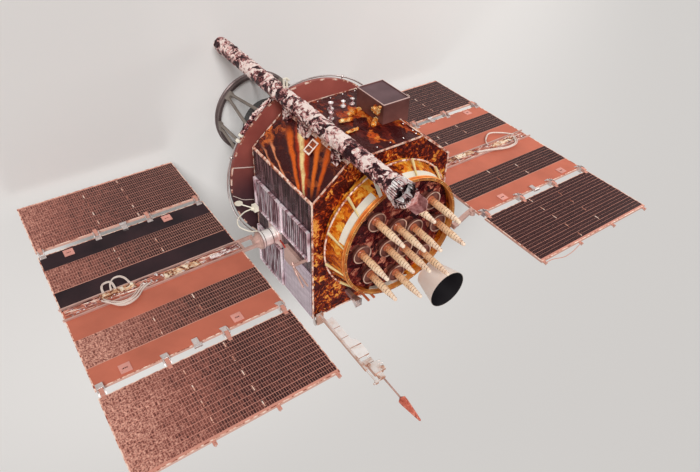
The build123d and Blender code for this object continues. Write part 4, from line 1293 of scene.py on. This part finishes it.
def add_tile(heap, y0, y1, s0, s1, tone, shine):
    low = [(CELL_FACE, y, WING_Z + s) for y, s in corners(y0, y1, s0, s1)]
    edge = TILE_BEVEL
    inner = corners(y0 + edge, y1 - edge, s0 + edge, s1 - edge)
    high = [(CELL_FACE + TILE_T, y, WING_Z + s) for y, s in inner]
    faces = [(4, 5, 6, 7)] + [(side, (side + 1) % 4, (side + 1) % 4 + 4, side + 4) for side in range(4)]
    heap.add(low + high, faces, tone=tone, shine=shine)


def cell_shine(side, end, y, s):
    """How much painted glint a cell gets: most at the left wing's tip and on its aft rows, hardly on the
    right.
    """
    if side < 0:
        return 0.05
    along = min(1.0, max(0.0, (y - 1.60) / 1.0))
    return min(1.0, 0.06 + 0.06 * end + along * (0.86 + 0.10 * end) + 0.10 * max(0.0, -end * s - 0.9))


def cell_field(name, body, side, end, rows, pitch, seed):
    draw = random.Random(seed)
    heap = Heap()
    count = int((CELLS_END - CELLS_START) / CELL_PITCH)
    gap, spread, line, row_line = CELL_GAPS[side]
    for row, s_row in enumerate(rows):
        for half in (0, 1):
            s0 = s_row + half * pitch / 2 + (row_line if half == 0 else line) / 2
            s1 = s_row + (half + 1) * pitch / 2 - (row_line if half == 1 else line) / 2
            for column in range(count):
                y0 = CELLS_START + column * CELL_PITCH
                shine = cell_shine(side, end, y0, s_row)
                drift = noise.noise(Vector((column * 0.15, row * 0.5, seed)))
                tone = 0.20 + 0.06 * drift + draw.uniform(-spread, spread)
                ys = sorted((side * y0, side * (y0 + CELL_PITCH - gap)))
                ss = sorted((end * s0, end * s1))
                add_tile(heap, *ys, *ss, tone, shine)
    heap.piece(name, body, "panel_cells", finish=finish_for("solar_cell"))


FIELDS = []
for side_name, side in SIDES.items():
    for end_name, end in ENDS.items():
        outer, strip = (f"{kind}_{end_name}_{side_name}" for kind in ("cells", "strip"))
        FIELDS.append((outer, f"{end_name}_{side_name}", side, end, OUTER_ROWS, ROW_PITCH))
        FIELDS.append((strip, f"wing_{side_name}", side, end, STRIP_ROWS, STRIP_PITCH))
for seed, field in enumerate(FIELDS):
    cell_field(*field, seed)

# %% [markdown]
# Jumpers join the rows: short flat braids, pale against the cells. Pale tape also binds each
# panel's edges. Both are thin strips a little proud of what they lie on, with bevelled edges
# that catch the light, so one helper makes them all.

# %% Jumpers and edge tape
PANEL_FACE = -0.218
ROOT_Y, TIP_Y = 1.102, 2.650
OUTER_EDGES, CENTRE_EDGES = (0.897, 1.632), (-0.820, 0.820)
TAPE_WIDTH, TAPE_T = 0.009, 0.0006
JUMPER_T, JUMPER_HALF_WIDTH, JUMPER_HALF_LENGTH = 0.0028, 0.004, 0.026
OUTER_JUMPERS, STRIP_JUMPERS = (1.705, 2.060), (1.700, 2.060)


def add_slab(heap, low, high):
    """A thin block between two corners, its top edges bevelled towards +X."""
    (x0, y0, z0), (x1, y1, z1) = low, high
    edge = min(x1 - x0, 0.0008)
    ring = corners(y0, y1, z0, z1)
    inset = corners(y0 + edge, y1 - edge, z0 + edge, z1 - edge)
    rings = [[Vector((x0, y, z)) for y, z in ring], [Vector((x1 - edge, y, z)) for y, z in ring],
             [Vector((x1, y, z)) for y, z in inset]]
    heap.ring_strip(rings)


def wing_slab(heap, side, x0, x1, y0, y1, s0, s1):
    ys, zs = sorted((side * y0, side * y1)), sorted((WING_Z + s0, WING_Z + s1))
    add_slab(heap, (x0, ys[0], zs[0]), (x1, ys[1], zs[1]))


def edge_tape(heap, side, s0, s1):
    x0, x1 = PANEL_FACE, PANEL_FACE + TAPE_T
    for y in (ROOT_Y, TIP_Y - TAPE_WIDTH):
        wing_slab(heap, side, x0, x1, y, y + TAPE_WIDTH, s0, s1)
    low, high = sorted((s0, s1))
    for s in (low, high - TAPE_WIDTH):
        wing_slab(heap, side, x0, x1, ROOT_Y + TAPE_WIDTH, TIP_Y - TAPE_WIDTH, s, s + TAPE_WIDTH)


def jumpers(heap, side, end, rows, places, pitch):
    """Braids over the middle of each row, at two places that take turns from row to row."""
    x0, x1 = CELL_FACE, CELL_FACE + JUMPER_T
    for first, y in enumerate(places):
        for s in rows[first::2]:
            middle = end * (s + pitch / 2)
            wing_slab(heap, side, x0, x1, y - JUMPER_HALF_WIDTH, y + JUMPER_HALF_WIDTH,
                      middle - JUMPER_HALF_LENGTH, middle + JUMPER_HALF_LENGTH)


for side_name, side in SIDES.items():
    for end_name, end in ENDS.items():
        trim = Heap()
        edge_tape(trim, side, *(end * s for s in OUTER_EDGES))
        jumpers(trim, side, end, OUTER_ROWS, OUTER_JUMPERS, ROW_PITCH)
        trim.piece(f"trim_{end_name}_{side_name}", f"{end_name}_{side_name}", "pale_tape")
    trim = Heap()
    edge_tape(trim, side, *CENTRE_EDGES)
    for end in ENDS.values():
        jumpers(trim, side, end, STRIP_ROWS, STRIP_JUMPERS, STRIP_PITCH)
    trim.piece(f"trim_centre_{side_name}", f"wing_{side_name}", "pale_tape")

# %% [markdown]
# ## Wound wire on the antenna rods
# Each rod carries one flat conductor, wound from foot to tip. A helix is a circle whose
# height grows with the angle, and its radius follows the rod's taper.

# %% Helix conductors
ARRAY = [(0.420, 43.4, 8), (0.152, 19.4, 4)]      # circle radius, first angle, how many
ROD_FOOT, ROD_WAIST, ROD_TIP = 2.690, 2.890, 3.035
ROD_R, TIP_R = 0.032, 0.016
TURNS, TURN_STEPS, WIRE_ENDS = 12, 20, 0.006
WIRE_PROFILE = ((-0.0022, 0.0), (-0.0018, 0.0012), (0.0018, 0.0012), (0.0022, 0.0))    # across, proud


def rod_radius(height):
    share = max(0.0, (height - ROD_WAIST) / (ROD_TIP - ROD_WAIST))
    return ROD_R + (TIP_R - ROD_R) * share


def array_places():
    for radius, first, count in ARRAY:
        for place in range(count):
            angle = math.radians(first + 360 / count * place)
            yield ARRAY_X + radius * math.cos(angle), ARRAY_Y + radius * math.sin(angle)


def helix_conductors():
    heap = Heap()
    for x, y in array_places():
        for wind in range(TURNS * TURN_STEPS):
            points = []
            for step in (wind, wind + 1):
                angle = 2 * math.pi * step / TURN_STEPS
                wound = (ROD_TIP - ROD_FOOT - 2 * WIRE_ENDS) * step / (TURNS * TURN_STEPS)
                middle = ROD_FOOT + WIRE_ENDS + wound
                for across, proud in WIRE_PROFILE:
                    radius = rod_radius(middle + across) + proud
                    points.append((x + radius * math.cos(angle), y + radius * math.sin(angle),
                                   middle + across))
            heap.add(points, [(0, 4, 5, 1), (1, 5, 6, 2), (2, 6, 7, 3)])
    heap.piece("helix_conductors", "root", "helix_rod", smooth=True, finish=finish_for("wound_copper"))


helix_conductors()

# %% [markdown]
# ## Fasteners, tapes and linings
# The last layer of a satellite is small: buttons that pin the blankets, tapes round the plate's
# rim, a foil-wrapped stretch of the rim rail, and the white lining inside the antenna skirt.
# Each kind is a loop over places, and the places come from the sizes of what they fasten.

# %% Buttons and bolts
BODY_Z0, BODY_Z1 = 1.425, 2.415
FACE_X, FACE_HALF = 0.815, 0.390
SKIRT_BUTTONS_R, SKIRT_BUTTONS_Z = 0.634, 2.455
HOOP_SCREWS_R = 0.5955
PADS_Y, PAD_S, PAD_FLOOR = (1.500, 2.404), 0.745, -0.2162
BUTTON_R, SKIRT_BUTTON_R, SCREW_R, STUD_R = 0.0075, 0.0065, 0.0042, 0.0045


def rows_between(low, high, count):
    return [low + (high - low) * step / (count - 1) for step in range(count)]


def blanket_buttons():
    heap = Heap()
    for y in rows_between(-FACE_HALF + 0.05, FACE_HALF - 0.05, 6):
        for z in (BODY_Z0 + 0.045, BODY_Z1 - 0.045):
            bolt(heap, (FACE_X + 0.002, y, z), (1, 0, 0), BUTTON_R)
    for z in rows_between(BODY_Z0 + 0.1, BODY_Z1 - 0.1, 7):
        bolt(heap, (FACE_X + 0.002, -FACE_HALF + 0.04, z), (1, 0, 0), BUTTON_R)
    for turn in rows_between(0, 345, 24):
        angle = math.radians(turn)
        out_x, out_y = math.cos(angle), math.sin(angle)
        place = (ARRAY_X + SKIRT_BUTTONS_R * out_x, ARRAY_Y + SKIRT_BUTTONS_R * out_y, SKIRT_BUTTONS_Z)
        bolt(heap, place, (out_x, out_y, 0.25), SKIRT_BUTTON_R)
    heap.piece("blanket_buttons", "root", "bright_metal")


def hoop_bolts():
    heap = Heap()
    for turn in rows_between(0, 350, 36):
        angle = math.radians(turn)
        x, y = ARRAY_X + HOOP_SCREWS_R * math.cos(angle), ARRAY_Y + HOOP_SCREWS_R * math.sin(angle)
        bolt(heap, (x, y, HOOP_TOP - 0.0005), (0, 0, 1), SCREW_R)
    heap.piece("hoop_bolts", "root", "gold_rim", finish=finish_for("gold_strut"))


def pad_studs(side_name, side):
    heap = Heap()
    for end in ENDS.values():
        for y in PADS_Y:
            for offset in (-0.013, 0.0, 0.013):
                bolt(heap, (PAD_FLOOR, side * (y + offset), WING_Z + end * PAD_S), (1, 0, 0), STUD_R)
    heap.piece(f"pad_studs_{side_name}", f"wing_{side_name}", "black_paint")


blanket_buttons()
hoop_bolts()
for side_name, side in SIDES.items():
    pad_studs(side_name, side)

# %% [markdown]
# The round plate is edged with short tapes, none as long as the next, and a stretch of the
# rail round it is wound with crushed foil. A tape is an arc of one small profile, and the
# wrap is a tube whose radius follows a noise, so that it is thick and thin by turns.

# %% Rim of the round plate
PLATE_R, PLATE_FACE = 0.900, 1.245
RAIL_R, RAIL_Z = 0.930, 1.235
TAPES, TAPE_STEPS = 40, 4
TAPE_PROFILE = ((-0.012, 0.0), (-0.011, 0.0012), (0.0008, 0.0012), (0.0014, -0.010))    # outward, up
WRAP_FROM, WRAP_SPAN = 19, 34                   # degrees round the rail
WRAP_STEPS, WRAP_SIDES = 89, 14
CLAMPS_AT = (53.0, 56.5, 233.0)                 # degrees round the rail
CLAMP_OUTLINE = [(0.0135, -0.014), (0.021, -0.014), (0.024, -0.008),
                 (0.024, 0.008), (0.021, 0.014), (0.0135, 0.014)]
CORD = [(-0.060, 0.893), (-0.082, 0.865), (-0.150, 0.790), (-0.170, 0.720), (-0.188, 0.681)]
SEAM_AT, SEAM_RADII = math.radians(74), (0.62, 0.70, 0.80, 0.888)


def rim_tapes():
    """Short tapes folded over the plate's edge."""
    draw = random.Random(11)
    heap = Heap()
    for place in range(TAPES):
        start = math.radians(360 / TAPES * place + draw.uniform(-1.5, 1.5))
        length = math.radians(draw.uniform(2.5, 6.0))
        rings = []
        for step in range(TAPE_STEPS + 1):
            angle = start + length * step / TAPE_STEPS
            out_x, out_y = math.cos(angle), math.sin(angle)
            rings.append([Vector(((PLATE_R + out) * out_x, (PLATE_R + out) * out_y, PLATE_FACE + up))
                          for out, up in TAPE_PROFILE])
        heap.ring_strip(rings)
    heap.piece("rim_tapes", "root", "pale_tape")


def rail_wrap():
    """Crushed foil wound round a stretch of the rail."""
    heap = Heap()
    rings = []
    for step in range(WRAP_STEPS + 1):
        angle = math.radians(WRAP_FROM + WRAP_SPAN * step / WRAP_STEPS)
        out = Vector((math.cos(angle), math.sin(angle), 0))
        middle = out * RAIL_R + Vector((0, 0, RAIL_Z))
        ring = []
        for side in range(WRAP_SIDES):
            turn = 2 * math.pi * side / WRAP_SIDES
            spot = middle + out * 0.02 * math.cos(turn) + Vector((0, 0, 0.02 * math.sin(turn)))
            radius = 0.016 + 0.016 * abs(noise.noise(spot * 38.0)) + 0.010 * abs(noise.noise(spot * 11.0))
            ring.append(middle + out * radius * math.cos(turn) + Vector((0, 0, radius * math.sin(turn))))
        rings.append(ring)
    heap.ring_strip(rings)
    heap.piece("rail_wrap", "root", "silver_foil")


def rail_clamps():
    """Pale clamps on the rail, two beside the wrap and one across from it."""
    heap = Heap()
    for turn in CLAMPS_AT:
        angle = math.radians(turn)
        out = Vector((math.cos(angle), math.sin(angle), 0))
        place, along = out * RAIL_R + Vector((0, 0, RAIL_Z)), out.cross(Vector((0, 0, 1)))
        lathe(heap, place, along, CLAMP_OUTLINE, WRAP_SIDES)
    heap.piece("rail_clamps", "root", "white_sheet")


def plate_cord():
    """A pale cord laid across the plate, and the pale seam further round."""
    heap = Heap()
    strand(heap, curved([(x, y, PLATE_FACE + 0.003) for x, y in CORD]), 0.0035)
    seam = [(radius * math.cos(SEAM_AT), radius * math.sin(SEAM_AT), PLATE_FACE) for radius in SEAM_RADII]
    strand(heap, seam, 0.005, flat=0.3)
    heap.piece("plate_cord", "root", "white_cable")


rim_tapes()
rail_wrap()
rail_clamps()
plate_cord()

# %% [markdown]
# Inside the skirt two white sheets line the foil just under the hoop. Each is a strip that
# follows the skirt's taper, narrow at its ends. A red streamer hangs beside the left louvres.
# It is one flattened wire along a short curve, which bends as light ribbon does.

# %% Lining and streamer
LINING = [(-42, 12), (150, 196)]                # where it shows, degrees round the array
SKIRT_TOP, SKIRT_TOP_R, SKIRT_FOOT_R = 2.650, 0.588, 0.645
LINING_TOP, LINING_LOW, LINING_DROP = 2.6475, 2.646, 0.050
LINING_BACK, LINING_FRONT = 0.0075, 0.0105      # how far in from the skirt's wall
STREAMER = [(-0.190, 0.762, 1.915), (-0.182, 0.770, 1.950), (-0.186, 0.768, 1.985), (-0.214, 0.764, 2.012)]


def skirt_lining():
    """Two white sheets against the inside of the skirt, just under the hoop."""
    heap = Heap()
    for first, last in LINING:
        steps = last - first
        rings = []
        for step in range(steps + 1):
            angle = math.radians(first + step)
            taper = min(1.0, 8 * step / steps, 8 * (steps - step) / steps + 0.1)
            low = LINING_LOW - LINING_DROP * taper
            ring = []
            for inward, z in corners(LINING_BACK, LINING_FRONT, low, LINING_TOP):
                down = (SKIRT_TOP - z) / (SKIRT_TOP - BODY_Z1)
                radius = SKIRT_TOP_R + (SKIRT_FOOT_R - SKIRT_TOP_R) * down - inward
                ring.append(Vector((ARRAY_X + radius * math.cos(angle),
                                    ARRAY_Y + radius * math.sin(angle), z)))
            rings.append(ring)
        heap.ring_strip(rings)
    heap.piece("skirt_lining", "root", "white_sheet")


def side_tag():
    """A small streamer tied to the left louvre frame."""
    heap = Heap()
    strand(heap, curved(STREAMER), 0.008, flat=0.25)
    heap.piece("side_tag", "root", "salmon_cover", finish=finish_for("red_tag"))


skirt_lining()
side_tag()

# %% [markdown]
# ## Harness on the wings
# Between the rails of each wing runs a loom of sleeved wires, and at two places it leaves the
# beam in a loop that gives the drive some slack. The CAD cables are the middle of each loop.
# Around them go ribbons and thin wires that wander a little, as hand-laid looms do.

# %% Wing harness
LOOM_X, LOOP_X = -0.209, -0.1935
LOOM_WIRES, LOOM_STEPS, SCRAPS = 7, 14, 34
LOOM_FROM, LOOM_LENGTH, LOOM_LOW, LOOM_WIDTH = 1.110, 1.520, -0.060, 0.102
SCRAPS_FROM, SCRAPS_LENGTH = 1.44, 1.14
BEAM_LOW, BEAM_HIGH = -0.064, 0.046             # the twists stay between the rails
LOOPS = {                                       # half width of a ribbon, then its route as (y, s)
    "left": [
        (0.009, [(2.345, 0.010), (2.305, 0.070), (2.240, 0.124), (2.176, 0.134), (2.100, 0.116),
                 (2.030, 0.046), (1.965, 0.008)]),
        (0.009, [(2.320, 0.026), (2.280, 0.096), (2.228, 0.152), (2.160, 0.163), (2.080, 0.132),
                 (2.005, 0.044), (1.930, 0.020)]),
        (0.006, [(2.330, 0.000), (2.290, 0.052), (2.235, 0.100), (2.170, 0.110), (2.110, 0.096),
                 (2.045, 0.030), (1.985, -0.010)]),
        (0.005, [(2.310, -0.070), (2.312, -0.110), (2.290, -0.180), (2.216, -0.182), (2.200, -0.124),
                 (2.204, -0.060)]),
        (0.005, [(2.246, -0.060), (2.240, -0.130), (2.190, -0.205), (2.120, -0.196), (2.088, -0.126),
                 (2.080, -0.060)]),
    ],
    "right": [
        (0.006, [(2.060, -0.056), (2.096, -0.130), (2.230, -0.222), (2.306, -0.216), (2.450, -0.112),
                 (2.492, -0.046)]),
        (0.009, [(1.850, 0.000), (1.960, 0.028), (2.090, 0.078), (2.230, 0.124), (2.376, 0.108),
                 (2.430, 0.044), (2.460, -0.024)]),
        (0.009, [(1.850, 0.016), (1.960, 0.040), (2.085, 0.092), (2.232, 0.138), (2.386, 0.118),
                 (2.440, 0.052), (2.472, -0.010)]),
    ],
}


def loom(heap, side, seed):
    """Wires side by side in lanes, each wandering a little out of its own."""
    draw = random.Random(seed)
    for wire in range(LOOM_WIRES):
        lane = LOOM_LOW + LOOM_WIDTH * wire / (LOOM_WIRES - 1)
        points = []
        for step in range(LOOM_STEPS + 1):
            y = LOOM_FROM + LOOM_LENGTH * step / LOOM_STEPS
            points.append((LOOM_X + draw.uniform(-0.003, 0.003), side * y,
                           WING_Z + lane + draw.uniform(-0.009, 0.009)))
        strand(heap, curved(points, 4), draw.choice((0.0028, 0.0036, 0.0050)))


def scraps(heap, side, seed):
    """Short twists of film that tie the loom down along the beam."""
    draw = random.Random(seed)
    for scrap in range(SCRAPS):
        y = SCRAPS_FROM + SCRAPS_LENGTH * (scrap + draw.uniform(0, 0.8)) / SCRAPS
        s = draw.uniform(-0.052, 0.034)
        path = [(LOOM_X + 0.002, side * y, WING_Z + s)]
        for _ in range(3):
            y += draw.uniform(-0.006, 0.020)
            s = min(BEAM_HIGH, max(BEAM_LOW, s + draw.uniform(-0.018, 0.018)))
            path.append((LOOM_X + draw.uniform(0.004, 0.013), side * y, WING_Z + s))
        strand(heap, curved(path, 3), draw.uniform(0.004, 0.009), flat=0.22)


for seed, (side_name, side) in enumerate(SIDES.items()):
    wing, film, sleeves = f"wing_{side_name}", finish_for("sleeve_film"), finish_for("rose_wire")
    ties = Heap()
    scraps(ties, side, 60 + seed)
    ties.piece(f"loom_ties_{side_name}", wing, "silver_foil", finish=film)
    wires = Heap()
    loom(wires, side, 40 + seed)
    wires.piece(f"loom_{side_name}", wing, "white_cable", smooth=True, finish=sleeves)
    ribbons = Heap()
    for half_width, route in LOOPS[side_name]:
        points = [(LOOP_X, side * y, WING_Z + s) for y, s in route]
        strand(ribbons, curved(points), half_width, 8, flat=0.45)
    ribbons.piece(f"ribbons_{side_name}", wing, "white_cable", smooth=True)

# %% [markdown]
# ## Floor and light
# A plain pale floor and a soft studio. The main light is a wide sun high beside the camera,
# so that the floor is equally bright everywhere and colours come out about as they are
# written. Two weak panels round the forms off, and an even world fills the shadows.

# %% Studio
FLOOR_HALF = 150.0
SUN_FROM, SUN_STRENGTH, SUN_WIDTH = Vector((0.62, 0.30, 0.72)), 2.3, math.radians(20)


def make_floor():
    ends = (-FLOOR_HALF, FLOOR_HALF)
    mesh = bpy.data.meshes.new("floor")
    mesh.from_pydata([(x, y, 0) for x, y in corners(*ends, *ends)], [], [(0, 1, 2, 3)])
    floor = bpy.data.objects.new("floor", mesh)
    bpy.context.scene.collection.objects.link(floor)
    finish = Finish("floor", (0.80, 0.78, 0.76), 0.8)
    mesh.materials.append(finish.material)


def add_lamp(name, place, target, size, power, colour):
    lamp = bpy.data.objects.new(name, bpy.data.lights.new(name, "AREA"))
    lamp.data.shape = "RECTANGLE"
    lamp.data.size, lamp.data.size_y = size
    lamp.data.energy = power
    lamp.data.color = colour
    bpy.context.scene.collection.objects.link(lamp)
    aim(lamp, Vector(place), Vector(target) - Vector(place), Vector((0, 0, 1)))


def add_sun():
    sun = bpy.data.objects.new("sun", bpy.data.lights.new("sun", "SUN"))
    sun.data.energy = SUN_STRENGTH
    sun.data.angle = SUN_WIDTH
    bpy.context.scene.collection.objects.link(sun)
    aim(sun, SUN_FROM * 10, -SUN_FROM, Vector((0, 1, 0)))


def light_world():
    world = bpy.data.worlds.new("studio")
    world.use_nodes = True
    background = world.node_tree.nodes["Background"]
    background.inputs["Color"].default_value = (1.0, 0.97, 0.95, 1)
    background.inputs["Strength"].default_value = 0.28
    bpy.context.scene.world = world


LAMPS = [                                       # name, place, target, size, power, colour
    ("fill", (3.0, -4.5, 3.5), (0, 0, 1.9), (3.0, 3.0), 60, (1.0, 0.96, 0.94)),
    ("rim", (-4.0, 2.0, 5.0), (0, 0, 1.9), (2.5, 2.5), 60, (1.0, 0.98, 0.97)),
]
make_floor()
light_world()
add_sun()
for lamp in LAMPS:
    add_lamp(*lamp)
print("lamps:", len(LAMPS) + 1)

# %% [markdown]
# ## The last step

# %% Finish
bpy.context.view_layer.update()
